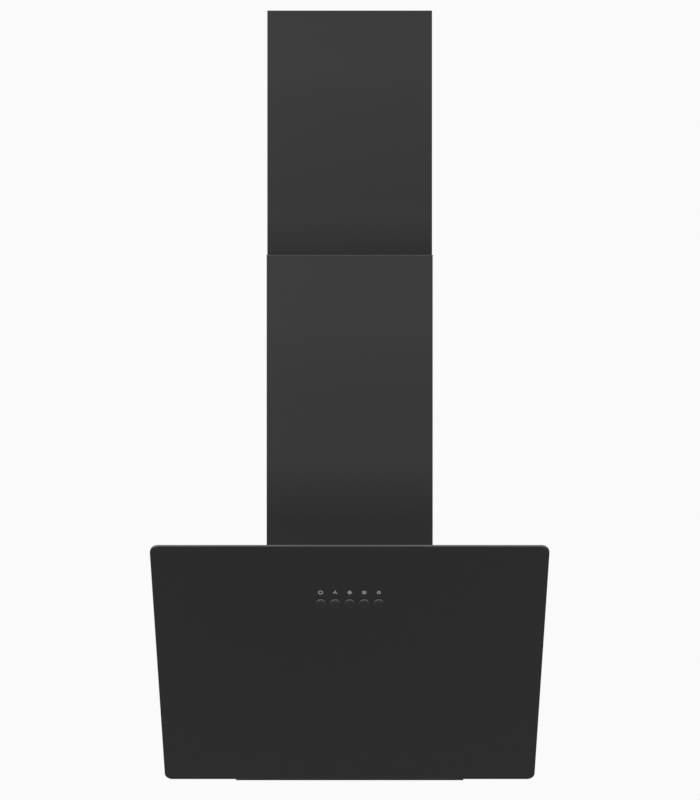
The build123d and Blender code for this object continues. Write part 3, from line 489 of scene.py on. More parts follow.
def band(inner: float, outer: float, low: float, high: float) -> Points:
    """Square section of a ring, or of a disc where the inner radius is 0."""
    return ((inner, low), (outer, low), (outer, high), (inner, high))


def turned(degrees: float, axis: str = "Z") -> Matrix:
    """Turn about one of the local axes."""
    return Matrix.Rotation(math.radians(degrees), 4, axis)


def around(count: int) -> list[Matrix]:
    """Turns about local Z that share out a full circle."""
    return [Matrix.Rotation(math.tau * number / count, 4, "Z") for number in range(count)]


def moved(across: float, along: float = 0.0, up: float = 0.0) -> Matrix:
    """Shift along the local axes."""
    return Matrix.Translation((across, along, up))


def facing(direction: Sequence[float], spot: Sequence[float]) -> Matrix:
    """Turn that brings local Z to a direction, and shift to a spot."""
    turn = Vector((0, 0, 1)).rotation_difference(Vector(direction)).to_matrix().to_4x4()
    return Matrix.Translation(Vector(spot)) @ turn


@dataclass(frozen=True)
class Place:
    """Flat surface to build on: an origin with its across, up and out directions."""

    origin: Vector
    across: Vector
    up: Vector

    def at(self, across: float = 0.0, up: float = 0.0, out: float = 0.0) -> Matrix:
        """Matrix of a spot on the surface, its axes along the surface's own."""
        axes = Matrix((self.across, self.up, self.across.cross(self.up)))
        return Matrix.Translation(self.origin) @ axes.transposed().to_4x4() @ moved(across, up, out)


# the glass's front face, from the middle of its lower edge
SLOPE = Place(Vector((0, -131.6 * MM, -210 * MM)), Vector((1, 0, 0)), Vector(UP_SLOPE))
# the blower's middle, with the shaft along the place's own Z
WHEEL = Place(Vector((0, -112 * MM, 19 * MM)), Vector((0, 1, 0)), Vector((0, 0, 1)))
TURN_OVER = turned(180, "X")


def circle(part: Shape, segments: int, radius: float, place: Matrix) -> Edges:
    """Draw a circle round local Z in a shape, and return its edges."""
    made = bmesh.ops.create_circle(part, segments=segments, radius=radius, matrix=place)
    return list(dict.fromkeys(edge for vert in made["verts"] for edge in vert.link_edges))


def skin(part: Shape, rings: Sequence[Edges]) -> None:
    """Stretch a wall from each ring of edges to the next."""
    for ring, following in zip(rings, rings[1:]):
        bmesh.ops.bridge_loops(part, edges=ring + following)


def stand(name: str, data: bpy.types.ID) -> bpy.types.Object:
    """Put an object into the scene.

    Args:
        name: Its name.
        data: Its mesh, lamp or camera.

    Returns:
        The object.
    """
    made = bpy.data.objects.new(name, data)
    bpy.context.scene.collection.objects.link(made)
    return made


@dataclass
class Piece:
    """One visible piece while its mesh is being built.

    Attributes:
        name: Its name.
        finish: What it is finished in.
        body: The moving body that carries it.
        mesh: What has been added to it.
    """

    name: str
    finish: Finishes
    body: str
    mesh: Shape = field(default_factory=bmesh.new)

    smooth_angle = math.radians(32)
    coil_steps, wire_sides, bar_sides, head_sides = 20, 8, 10, 24
    pan_height, pan_recess, cross_arm, cross_half = 0.6, 0.6, 0.55, 0.14
    pan_rings = ((0.72, 1.0), (0.9, 0.85), (1.0, 0.5), (1.0, 0.0))
    flush_rings = ((6, 0.42, 0.25), (24, 0.86, 0.25), (24, 1.0, 0.1), (24, 1.0, -0.3))
    flush_radius, flush_recess = 3.2 * MM, 0.5 * MM
    dome = ((0, 0.14), (0.25, 0.14), (0.3, 0.32), (0.6, 0.36), (0.88, 0.22), (1, 0), (0, 0))

    def absorb(self, part: Shape, place: Matrix) -> None:
        """Move a finished shape to its place and add it to the piece.

        Args:
            part: The shape, which is used up.
            place: Where its origin goes.
        """
        bmesh.ops.transform(part, matrix=place, verts=part.verts)
        bmesh.ops.recalc_face_normals(part, faces=part.faces)
        loose = bpy.data.meshes.new("shape")
        part.to_mesh(loose)
        part.free()
        self.mesh.from_mesh(loose)
        bpy.data.meshes.remove(loose)

    def block(self, size: Triple, place: Matrix, edge: float) -> None:
        """Add a box, centred across its place and standing on it.

        Args:
            size: Length along local X, Y and Z.
            place: Where the middle of its foot goes.
            edge: Radius of its rounded edges.
        """
        part = bmesh.new()
        bmesh.ops.create_cube(part, size=1.0)
        bmesh.ops.scale(part, vec=size, verts=part.verts)
        bmesh.ops.translate(part, vec=(0, 0, size[2] / 2), verts=part.verts)
        bmesh.ops.bevel(
            part,
            geom=list(part.edges),
            offset=edge,
            offset_type="OFFSET",
            segments=3,
            profile=0.5,
            affect="EDGES",
            clamp_overlap=True,
            material=-1,
        )
        self.absorb(part, place)

    def lathe(self, profile: Points, place: Matrix, steps: int = 96) -> None:
        """Add a turned shape.

        Args:
            profile: Radius and height of each point, starting and ending on the axis or closed.
            place: Where the axis goes, along local Z.
            steps: Segments round the axis.
        """
        part = bmesh.new()
        corners = [part.verts.new((radius, 0, height)) for radius, height in profile]
        for first, second in zip(corners, corners[1:]):
            part.edges.new((first, second))
        if profile[0][0] > 0:
            part.edges.new((corners[-1], corners[0]))
        bmesh.ops.spin(
            part,
            geom=part.verts[:] + part.edges[:],
            cent=(0, 0, 0),
            axis=(0, 0, 1),
            angle=math.tau,
            steps=steps,
            use_merge=True,
        )
        bmesh.ops.remove_doubles(part, verts=part.verts, dist=WELD)
        self.absorb(part, place)

    def plate(self, edge: Sequence[Point], thickness: float, place: Matrix) -> None:
        """Add a flat plate of any outline.

        Args:
            edge: Its corners in the local XY plane.
            thickness: Its size along local Z.
            place: Where the outline's origin goes.
        """
        part = bmesh.new()
        face = part.faces.new([part.verts.new((x, y, 0)) for x, y in edge])
        grown = bmesh.ops.extrude_face_region(part, geom=[face])
        raised = [item for item in grown["geom"] if isinstance(item, bmesh.types.BMVert)]
        bmesh.ops.translate(part, vec=(0, 0, thickness), verts=raised)
        self.absorb(part, place)

    def web(self, edge: Sequence[Point], thickness: float, place: Matrix) -> None:
        """Add a plate that stands in the local XZ plane, half its thickness to each side."""
        self.plate(edge, thickness, place @ (turned(90, "X") @ moved(0, 0, -thickness / 2)))

    def coil(self, radius: float, wire: float, length: float, turns: int, place: Matrix) -> None:
        """Add a helical spring.

        Args:
            radius: Mean radius of the turns.
            wire: Radius of the wire.
            length: Height from first to last turn.
            turns: Number of turns.
            place: Where the axis starts, along local Z.
        """
        part = bmesh.new()
        start = moved(radius) @ turned(90, "X")
        bmesh.ops.create_circle(
            part, segments=self.wire_sides, radius=wire, cap_ends=True, matrix=start
        )
        steps = self.coil_steps * turns
        bmesh.ops.spin(
            part,
            geom=part.verts[:] + part.edges[:] + part.faces[:],
            cent=(0, 0, 0),
            axis=(0, 0, 1),
            dvec=(0, 0, length / steps),
            angle=math.tau * turns,
            steps=steps,
        )
        self.absorb(part, place)

    def tube(self, path: Sequence[Vector], radius: float, place: Matrix) -> None:
        """Add a bar of round section that follows a level path.

        Args:
            path: The points of its middle line.
            radius: Radius of the bar.
            place: Where the path's origin goes.
        """
        part = bmesh.new()
        rings = []
        for before, spot, after in zip(path[:1] + path, path, path[1:] + path[-1:]):
            along = (after - before).to_track_quat("Z", "Y").to_matrix().to_4x4()
            rings.append(circle(part, self.bar_sides, radius, Matrix.Translation(spot) @ along))
        skin(part, rings)
        for ring in (rings[0], rings[-1]):
            bmesh.ops.edgeloop_fill(part, edges=ring)
        self.absorb(part, place)

    def screw_head(self, part: Shape, rings: list[Edges], depth: float, place: Matrix) -> None:
        """Add the head of a screw.

        Args:
            part: The shape that its rings are drawn in, which is used up.
            rings: The rim of its recess, and the rings outwards and down from it.
            depth: How deep the recess is.
            place: Where the head sits, its top towards local Z.
        """
        skin(part, rings)
        sunk = bmesh.ops.extrude_edge_only(part, edges=rings[0])["geom"]
        floor = [item for item in sunk if isinstance(item, bmesh.types.BMVert)]
        bmesh.ops.translate(part, vec=(0, 0, -depth), verts=floor)
        low = [item for item in sunk if isinstance(item, bmesh.types.BMEdge)]
        closing = [edge for edge in low if all(vert in floor for vert in edge.verts)]
        for ring in (closing, rings[-1]):
            bmesh.ops.edgeloop_fill(part, edges=ring)
        self.absorb(part, place)

    def pan_screw(self, place: Matrix, radius: float = 3.5 * MM) -> None:
        """Add a pan-head screw with a cross recess.

        Args:
            place: Where the head sits, its top towards local Z.
            radius: Radius of the head.
        """
        height, arm, half = (
            radius * share for share in (self.pan_height, self.cross_arm, self.cross_half)
        )
        part = bmesh.new()
        quarter = [Vector((x, y, height)) for x, y in ((half, half), (half, arm), (-half, arm))]
        cross = [part.verts.new(turn @ corner) for turn in around(4) for corner in quarter]
        rim = [part.edges.new(pair) for pair in zip(cross, cross[1:] + cross[:1])]
        bmesh.ops.subdivide_edges(part, edges=rim, cuts=1)
        rings = [list(part.edges)]
        for share, level in self.pan_rings:
            spot = moved(0, 0, height * level)
            rings.append(circle(part, self.head_sides, radius * share, spot))
        self.screw_head(part, rings, height * self.pan_recess, place)

    def flush_screw(self, place: Matrix) -> None:
        """Add a sunk screw whose head stands just proud, with a six-sided recess.

        Args:
            place: The sheet's surface at its middle, its top towards local Z.
        """
        part = bmesh.new()
        rings = [
            circle(part, segments, self.flush_radius * share, moved(0, 0, level * MM))
            for segments, share, level in self.flush_rings
        ]
        self.screw_head(part, rings, self.flush_recess, place)

    def rivet(self, place: Matrix, radius: float = 3.2 * MM) -> None:
        """Add the domed head of a blind rivet."""
        dome = tuple((radius * x, radius * z) for x, z in self.dome)
        self.lathe(dome, place, steps=self.head_sides)

    def finish_piece(self, slot: str | None = None) -> bpy.types.Object:
        """Turn the mesh into an object on its body, with its gentle corners shaded round.

        Args:
            slot: The record's material slot that it belongs to; not used.

        Returns:
            The new object.
        """
        data = bpy.data.meshes.new(self.name)
        self.mesh.to_mesh(data)
        self.mesh.free()
        made = stand(self.name, data)
        data.shade_smooth()
        data.set_sharp_from_angle(angle=self.smooth_angle)
        self.finish.apply(made)
        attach(made, self.body)
        if slot is None:
            slot = self.finish.name
        log.info("%s: %d faces", self.name, len(data.polygons))
        return made


@dataclass
class Assembly:
    """Pieces that belong together, most of them on one body."""

    body: str = "hood"

    def piece(self, name: str, finish: Finishes, body: str = "") -> Piece:
        """Start a piece on the assembly's own body or on another."""
        return Piece(name, finish, body or self.body)

    def smooth_copy(self, name: str, finish: Finishes) -> None:
        """Show a node as a copy whose gentle corners are shaded round.

        Args:
            name: The node.
            finish: What it is finished in.
        """
        source = frame["nodes"][name]
        piece = self.piece(f"{name}_surface", finish)
        piece.mesh.from_mesh(source.data)
        bmesh.ops.transform(piece.mesh, matrix=source.matrix_world, verts=piece.mesh.verts)
        bmesh.ops.remove_doubles(piece.mesh, verts=piece.mesh.verts, dist=WELD)
        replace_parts(piece.finish_piece(slot=""), name)


# ------------------------------------------------------------------ glass front


@dataclass
class FrontPanel(Assembly):
    """Leaning glass panel with its buttons, signs and backing."""

    body: str = "front_panel"
    glass: float = 4 * MM
    buttons: tuple[str, ...] = ("power", "low_speed", "medium_speed", "high_speed", "light")
    button_radius: float = 7.5 * MM
    button_proud: float = 2.8 * MM
    button_pitch: float = 22 * MM
    button_row: float = 359.1 * MM
    dish: float = 1.2 * MM
    dish_steps: int = 10
    rim: float = 0.5 * MM
    sleeve: float = 0.08 * MM
    stem: Triple = mm(5, 5, 16)
    sign_rise: float = 20 * MM
    ink_lift: float = 0.03 * MM
    ink_layer: float = 0.05 * MM
    ring_signs: Points = (mm(2.2, 3.8), mm(1.2, 3))
    fan_signs: tuple[tuple[int, float], ...] = ((3, 0.4), (4, 0.8), (6, 0.85))
    fan_reach: float = 3.7 * MM
    fan_hub: float = 0.8 * MM
    hub_lift: float = 0.01 * MM
    bead: Triple = mm(320, 9, 1.4)
    bead_rows: Numbers = mm(70, 160, 250)
    tray_back: float = -4.8 * MM
    lug_place: float = 57 * MM
    lug_back: float = -6.8 * MM

    def spot(self, column: int, up: float = 0.0, out: float = 0.0) -> Matrix:
        """Place in a button's column, counted from the middle one."""
        return SLOPE.at(column * self.button_pitch, self.button_row + up, out)

    def cap_profile(self) -> Points:
        """Draw the side view of a dished cap.

        Returns:
            Its points, from the middle of the dish to the middle of its foot.
        """
        top, foot, radius = self.button_proud, -self.glass, self.button_radius
        shares = [step / self.dish_steps for step in range(self.dish_steps + 1)]
        bowl = [
            ((radius - self.rim) * share, top - self.dish * math.cos(share * math.pi / 2) ** 1.5)
            for share in shares
        ]
        return (*bowl, (radius, top - self.rim), (radius, foot), (0, foot))

    def button_caps(self) -> None:
        """Five push buttons, each with its stem and a thin light skin round its cap, a painted
        highlight for the reflection on its rim.
        """
        inner, outer = self.button_radius - self.sleeve, self.button_radius + self.sleeve
        wall = band(inner, outer, -self.glass / 2, self.button_proud - self.rim)
        for column, name in enumerate(self.buttons, start=-2):
            cap = self.piece(f"{name}_button_cap", Finishes.button_plastic, f"{name}_key")
            cap.lathe(self.cap_profile(), self.spot(column), steps=48)
            foot = self.spot(column, out=-self.glass - self.stem[2])
            cap.block(self.stem, foot, edge=0.4 * MM)
            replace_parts(cap.finish_piece(), f"{name}_button")
            sleeve = self.piece(f"{name}_button_rim_highlight", Finishes.sleeve_satin, f"{name}_key")
            sleeve.lathe(wall, self.spot(column), steps=72)
            sleeve.finish_piece("button_plastic")

    def signs(self) -> None:
        """Printed signs above the buttons: off, three fan speeds and the lamp."""
        ink = self.piece("button_signs", Finishes.printed_ink)
        for column, (blades, fullness) in enumerate(self.fan_signs, start=-1):
            self.fan_sign(ink, self.spot(column, self.sign_rise, self.ink_lift), blades, fullness)
        for column, (inner, outer) in zip((-2, 2), self.ring_signs):
            place = self.spot(column, self.sign_rise, self.ink_lift)
            ink.lathe(band(inner, outer, 0, self.ink_layer), place, steps=40)
        ink.finish_piece("button_plastic")

    def fan_sign(self, ink: Piece, place: Matrix, blades: int, fullness: float) -> None:
        """Print a fan.

        Args:
            ink: The piece it joins.
            place: Its middle, just off the glass.
            blades: Its number of blades.
            fullness: How much of the circle they fill.
        """
        width = fullness * self.fan_reach * math.pi / blades
        steps, bulge, lean, middle, reach = 20, 0.8, 0.25, 0.56, 0.44
        swept = []
        for step in range(steps):
            angle = math.tau * step / steps
            across = width * math.sin(angle) * bulge + lean * width * step / steps
            swept.append((across, self.fan_reach * (middle - reach * math.cos(angle))))
        for turn in around(blades):
            ink.plate(swept, self.ink_layer, place @ turn)
        hub = band(0, self.fan_hub, 0, self.ink_layer)
        ink.lathe(hub, place @ moved(0, 0, self.hub_lift), steps=20)

    def tray_details(self) -> None:
        """Pressed beads of the backing tray, and the switch block's screws."""
        beads = self.piece("tray_beads", Finishes.galvanised_steel)
        for row in self.bead_rows:
            place = SLOPE.at(0, row, self.tray_back) @ TURN_OVER
            beads.block(self.bead, place, edge=0.9 * MM)
        beads.finish_piece()
        screws = self.piece("switch_block_screws", Finishes.machined_steel)
        for side in SIDES:
            place = SLOPE.at(side * self.lug_place, self.button_row, self.lug_back)
            screws.pan_screw(place @ TURN_OVER, radius=2 * MM)
        screws.finish_piece()

    def build(self) -> None:
        """Build everything on the front panel."""
        self.button_caps()
        self.signs()
        self.tray_details()


@dataclass
class HingePair(Assembly):
    """Friction hinges of the front panel: pin heads, washers and screws."""

    body: str = "front_panel"
    along: float = 440 * MM
    setback: float = 22 * MM
    head: Points = outline((0, 0), (4.2, 0), (4.2, 0.5), (3.2, 1.3), (0, 1.6))
    head_face: float = 188 * MM
    washer: Points = outline(
        (2.45, 0.1), (4.6, 0.1), (4.6, 0.9), (4, 1.3), (3.2, 2), (2.45, 2.2)
    )
    washer_face: float = 192.3 * MM
    leaf_back: float = -6.8 * MM
    leaf_rows: Numbers = mm(417, 429)
    leaf_columns: Numbers = mm(162, 178)
    base_top: float = 158 * MM
    base_rows: Numbers = mm(-306, -290)
    base_column: float = 204 * MM

    def build(self) -> None:
        """Build the fixings of both hinges."""
        heads = self.piece("hinge_pin_heads", Finishes.machined_steel)
        leaf_screws = self.piece("hinge_leaf_screws", Finishes.machined_steel)
        base_screws = self.piece("hinge_base_screws", Finishes.machined_steel, "hood")
        axis = SLOPE.at(0, self.along, -self.setback).translation
        for side in SIDES:
            for profile, face, look in (
                (self.head, self.head_face, -side), (self.washer, self.washer_face, side)
            ):
                heads.lathe(profile, facing((look, 0, 0), (side * face, axis.y, axis.z)), steps=28)
            for row, column in product(self.leaf_rows, self.leaf_columns):
                place = SLOPE.at(side * column, row, self.leaf_back)
                leaf_screws.pan_screw(place @ TURN_OVER, radius=2.6 * MM)
            for row in self.base_rows:
                spot = (side * self.base_column, row, self.base_top)
                base_screws.pan_screw(facing(UPWARD, spot))
        for piece in (heads, leaf_screws, base_screws):
            piece.finish_piece()


# ------------------------------------------------------------------ chimney


@dataclass
class Chimney(Assembly):
    """Telescopic chimney: hem and screws of the two sections."""

    upper_body: str = "chimney_extension"
    width: float = 262 * MM
    depth: float = 205 * MM
    seam: float = 631 * MM
    corner: float = 1.5 * MM
    corner_steps: int = 4
    hem_radius: float = 0.6 * MM
    upper_width: float = 260 * MM
    low_screw_height: float = 161 * MM
    low_screw_depths: Numbers = mm(100, 175)
    high_screw_height: float = 993.5 * MM
    high_screw_depth: float = 35 * MM

    def hem(self) -> None:
        """Rolled hem along the lower section's top edge, lighter than the paint as a painted
        highlight.
        """
        hem = self.piece("chimney_hem", Finishes.hem_paint)
        half, corner = self.width / 2, self.corner
        middle = Vector((corner - half, corner - self.depth, 0))
        path = [Vector((-half, 0, 0))]
        for step in range(self.corner_steps + 1):
            turn = math.pi + step * math.pi / (2 * self.corner_steps)
            path.append(middle + corner * Vector((math.cos(turn), math.sin(turn), 0)))
        path += [Vector((-spot.x, spot.y, 0)) for spot in reversed(path)]
        hem.tube(path, self.hem_radius, moved(0, 0, self.seam - self.hem_radius))
        hem.finish_piece("chimney_paint")

    def build(self) -> None:
        """Build the hem, and the flush screws that hold the sections at their sides."""
        self.hem()
        low = self.piece("lower_chimney_screws", Finishes.latch_plastic)
        high = self.piece("upper_chimney_screws", Finishes.latch_plastic, self.upper_body)
        for side in SIDES:
            for depth in self.low_screw_depths:
                spot = (side * self.width / 2, -depth, self.low_screw_height)
                low.flush_screw(facing((side, 0, 0), spot))
            spot = (side * self.upper_width / 2, -self.high_screw_depth, self.high_screw_height)
            high.flush_screw(facing((side, 0, 0), spot))
        for piece in (low, high):
            piece.finish_piece("chimney_paint")


# ------------------------------------------------------------------ carcass


@dataclass
class Carcass(Assembly):
    """Blind rivets of the folded sheets."""

    half_width: float = 260 * MM
    low: float = -202 * MM
    side_rows: Numbers = mm(40, 140, 240, 340)
    side_depth: float = -48 * MM
    back_rows: Numbers = mm(-180, -70, 40, 140)
    back_depth: float = -9 * MM
    frame_half: float = 248 * MM
    frame_face: float = -38 * MM
    frame_rows: Numbers = mm(20, 110, 200, 290, 380)
    bottom_half: float = 250 * MM
    bottom_depths: Numbers = mm(-25, -75)

    def build(self) -> None:
        """Rivet the side panels and the intake frame."""
        rivets = self.piece("carcass_rivets", Finishes.body_paint)
        for side in SIDES:
            flange = [SLOPE.at(0, row, self.side_depth).translation.yz for row in self.side_rows]
            for y, z in flange + [(self.back_depth, row) for row in self.back_rows]:
                rivets.rivet(facing((side, 0, 0), (side * self.half_width, y, z)))
            for row in self.frame_rows:
                rivets.rivet(SLOPE.at(side * self.frame_half, row, self.frame_face))
            for depth in self.bottom_depths:
                rivets.rivet(facing(DOWNWARD, (side * self.bottom_half, depth, self.low)))
        rivets.finish_piece()


@dataclass
class LampStrip(Assembly):
    """Lamp box under the hood: fluted diffuser and screws."""

    flutes: int = 9
    flute_length: float = 299 * MM
    flute_height: float = 0.5 * MM
    flute_share: float = 0.8
    lens_width: float = 20 * MM
    lens_middle: float = -48 * MM
    lens_low: float = -220.8 * MM
    box_low: float = -220 * MM
    screw_column: float = 174 * MM
    screw_depths: Numbers = mm(-20, -72)

    def build(self) -> None:
        """Build the diffuser's flutes and the box's screws."""
        flutes = self.piece("lamp_flutes", Finishes.lamp_diffuser)
        pitch = self.lens_width / self.flutes
        size = (self.flute_length, pitch * self.flute_share, self.flute_height)
        for number in range(self.flutes):
            row = self.lens_middle + (number - (self.flutes - 1) / 2) * pitch
            flutes.block(size, moved(0, row, self.lens_low) @ TURN_OVER, edge=0.3 * MM)
        flutes.finish_piece()
        screws = self.piece("lamp_box_screws", Finishes.machined_steel)
        for side, depth in product(SIDES, self.screw_depths):
            screws.flush_screw(facing(DOWNWARD, (side * self.screw_column, depth, self.box_low)))
        screws.finish_piece()


@dataclass
class GreaseFilter(Assembly):
    """Grease filter: expanded mesh, rivets and the latch's springs."""

    middle: float = 196.76 * MM
    frame_size: Point = mm(400, 300)
    bar: float = 12 * MM
    front: float = -38.8 * MM
    mesh_size: Triple = (376 * MM, 276 * MM, 1)
    mesh_front: float = -40.25 * MM
    columns: int = 34
    rows: int = 38
    strand: float = 1.1 * MM
    gauge: float = 0.35 * MM
    pocket_half: float = 26 * MM
    pocket_end: float = 46 * MM
    spring_column: float = 15 * MM
    spring_depth: float = -42.5 * MM
    spring_start: float = 28.3 * MM
    spring_length: float = 13.7 * MM
    spring_radius: float = 1.5 * MM
    spring_wire: float = 0.25 * MM
    spring_turns: int = 8
    travel: float = 6 * MM

    def mesh(self) -> None:
        """Expanded metal behind the grille, left out round the latch's pocket."""
        part = bmesh.new()
        bmesh.ops.create_grid(part, x_segments=self.columns, y_segments=self.rows, size=0.5)
        bmesh.ops.scale(part, vec=self.mesh_size, verts=part.verts)
        squares = [edge for edge in part.edges if not edge.is_boundary]
        bmesh.ops.poke(part, faces=part.faces)
        bmesh.ops.dissolve_edges(part, edges=squares, use_verts=False)
        width, length, _ = self.mesh_size
        across = self.pocket_half + width / self.columns
        along = self.pocket_end - self.frame_size[1] / 2 + length / self.rows
        centres = [(face, face.calc_center_bounds()) for face in part.faces]
        pocket = [face for face, spot in centres if abs(spot.x) < across and spot.y < along]
        bmesh.ops.delete(part, geom=pocket, context="FACES")
        holes = list(part.faces)
        bmesh.ops.inset_individual(
            part, faces=holes, thickness=self.strand / 2, depth=self.gauge, use_even_offset=True
        )
        bmesh.ops.delete(part, geom=holes, context="FACES")
        bmesh.ops.solidify(part, geom=list(part.faces), thickness=self.gauge)
        mesh = self.piece("filter_expanded_mesh", Finishes.filter_mesh)
        mesh.absorb(part, SLOPE.at(0, self.middle, self.mesh_front - 2 * self.gauge))
        mesh.finish_piece()

    def rivets(self) -> None:
        """Rivets at the frame's corners."""
        rivets = self.piece("filter_rivets", Finishes.machined_steel)
        across, up = (size / 2 - self.bar / 2 for size in self.frame_size)
        for side, end in CORNERS:
            place = SLOPE.at(side * across, self.middle + end * up, self.front)
            rivets.rivet(place, radius=2.2 * MM)
        rivets.finish_piece()

    def springs(self) -> None:
        """Two springs that push the latch down."""
        start = self.middle - self.frame_size[1] / 2 + self.spring_start
        coil = (self.spring_radius, self.spring_wire, self.spring_length, self.spring_turns)
        for side, name in zip(SIDES, ("left", "right")):
            spring = self.piece(f"latch_spring_{name}", Finishes.machined_steel)
            column = side * self.spring_column
            spring.coil(*coil, SLOPE.at(column, start, self.spring_depth) @ turned(-90, "X"))
            made = spring.finish_piece()
            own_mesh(made)

    def build(self) -> None:
        """Build everything on the grease filter."""
        self.mesh()
        self.rivets()
        self.springs()


# ------------------------------------------------------------------ blower


@dataclass
class Impeller(Assembly):
    """Squirrel-cage wheel with curved blades, rims, disc and ribbed hub."""

    body: str = "fan_wheel"
    blades: int = 24
    blade_steps: int = 7
    inner: float = 57 * MM
    outer: float = 70 * MM
    sweep: float = 13.0
    lag: float = 2.0
    blade: float = 1.1 * MM
    half_length: float = 68 * MM
    rim: float = 3 * MM
    rim_lap: float = 1 * MM
    chamfer: float = 0.5 * MM
    disc: float = 1.5 * MM
    hub: float = 10 * MM
    hub_length: float = 20 * MM
    hub_chamfer: float = 0.8 * MM
    hub_flare: Point = mm(0.6, 3)
    shaft: float = 4.02 * MM
    ribs: int = 6
    rib: Points = outline((9, -1), (48, -1), (48, -2.5), (9, -14))
    rib_thickness: float = 1.6 * MM

    def blade_outline(self) -> list[Point]:
        """Draw the curved strip of a blade.

        Returns:
            Its points, from the root to the tip and back.
        """
        first = 4 * (self.sweep / 2 - self.lag) - self.sweep
        path = []
        for step in range(self.blade_steps + 1):
            share = step / self.blade_steps
            angle = math.radians(first * share + (self.sweep - first) * share**2)
            path.append((self.inner + (self.outer - self.inner) * share, angle))
        width = self.blade / self.inner
        path += [(radius, turn + width) for radius, turn in reversed(path)]
        return [(radius * math.cos(turn), radius * math.sin(turn)) for radius, turn in path]

    def build(self) -> None:
        """Build the wheel, which stands for the plainer solid one."""
        wheel = self.piece("impeller_moulding", Finishes.impeller_plastic)
        reach = self.half_length - self.rim / 2
        for turn in around(self.blades):
            wheel.plate(self.blade_outline(), 2 * reach, WHEEL.at(0, 0, -reach) @ turn)
        tip, root = self.outer + self.rim_lap, self.inner - self.rim_lap
        edge, rim, disc, hub, cut = self.chamfer, self.rim, self.disc, self.hub, self.hub_chamfer
        for start in (-self.half_length, self.half_length - rim):
            section = (
                (root + edge, 0), (tip - edge, 0), (tip, edge), (tip, rim - edge),
                (tip - edge, rim), (root + edge, rim), (root, rim - edge), (root, edge),
            )
            wheel.lathe(section, WHEEL.at(0, 0, start))
        lip, flare = self.hub_flare
        section = (
            (self.shaft, -self.hub_length), (hub - cut, -self.hub_length),
            (hub, cut - self.hub_length), (hub + lip, -flare), (hub + flare, -disc),
            (tip - edge, -disc), (tip, edge - disc), (tip, disc - edge), (tip - edge, disc),
            (self.shaft, disc),
        )
        wheel.lathe(section, WHEEL.at())
        for turn in around(self.ribs):
            wheel.web(self.rib, self.rib_thickness, WHEEL.at() @ turn)
        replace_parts(wheel.finish_piece(), "impeller")


@dataclass
class Blower(Assembly):
    """Scroll housing and motor: inlet lips, ribs, clips and screws."""

    half_width: float = 75 * MM
    inlet: float = 60 * MM
    rib_circle: float = 69 * MM
    rib_angles: range = range(15, 360, 30)
    rib: Triple = mm(10, 1.6, 2)
    start_angle: float = 110.0
    start_radius: float = 75 * MM
    end_radius: float = 100 * MM
    clip_angles: Numbers = (140, 175, 250, 280, 315, 345)
    clip: Triple = mm(16, 9, 2.4)
    clip_sink: float = 0.6 * MM
    can_radius: float = 44 * MM
    seams: Numbers = mm(28, 66)
    plate_face: float = 86 * MM
    boss: Points = outline((0, 0), (9, 0), (9, 1.6), (7.6, 3), (0, 3.4))
    foot_angles: Numbers = (90, 210, 330)
    foot_screws: Points = (mm(78, 3.4), mm(16, 2.4))
    flange_low: float = 153.2 * MM
    flange_column: float = 78.5 * MM
    flange_depths: Numbers = mm(-40, -97, -155)

    def housing(self) -> None:
        """Rounded lips round the inlets, ribs on the sides, and clips along the seam."""
        trim = self.piece("housing_trim", Finishes.housing_plastic)
        lip = outline(
            (0, -0.5), (4.5, -0.5), (4.2, 1.2), (3, 2.4), (1.6, 2.6), (0.5, 1.8), start=self.inlet
        )
        for side in (WHEEL.at(0, 0, self.half_width), WHEEL.at(0, 0, -self.half_width) @ TURN_OVER):
            trim.lathe(lip, side)
            for angle in self.rib_angles:
                trim.block(self.rib, side @ turned(angle) @ moved(self.rib_circle), edge=0.4 * MM)
        for angle in self.clip_angles:
            share = (angle - self.start_angle) / (360 - self.start_angle)
            radius = self.start_radius + share * (self.end_radius - self.start_radius)
            spot = WHEEL.at() @ turned(angle) @ moved(radius - self.clip_sink)
            trim.block(self.clip, spot @ turned(90, "Y"), edge=0.5 * MM)
        trim.finish_piece()

    def motor(self) -> None:
        """Seams and bearing boss of the motor, and all screws of the blower."""
        trim = self.piece("motor_trim", Finishes.motor_casing)
        seam = outline((-0.5, 0), (0.5, 0.4), (0.5, 1.8), (-0.5, 2.2), start=self.can_radius)
        for start in self.seams:
            trim.lathe(seam, WHEEL.at(0, 0, start))
        trim.lathe(self.boss, WHEEL.at(0, 0, self.plate_face), steps=40)
        trim.finish_piece()
        screws = self.piece("motor_screws", Finishes.machined_steel)
        for angle in self.foot_angles:
            face = WHEEL.at(0, 0, self.plate_face) @ turned(angle)
            for distance, radius in self.foot_screws:
                screws.pan_screw(face @ moved(distance), radius)
        for side, depth in product(SIDES, self.flange_depths):
            spot = (side * self.flange_column, depth, self.flange_low)
            screws.pan_screw(facing(DOWNWARD, spot), radius=2.6 * MM)
        screws.finish_piece()

    def build(self) -> None:
        """Build everything on the blower."""
        self.smooth_copy("motor_body", Finishes.motor_casing)
        self.housing()
        self.motor()


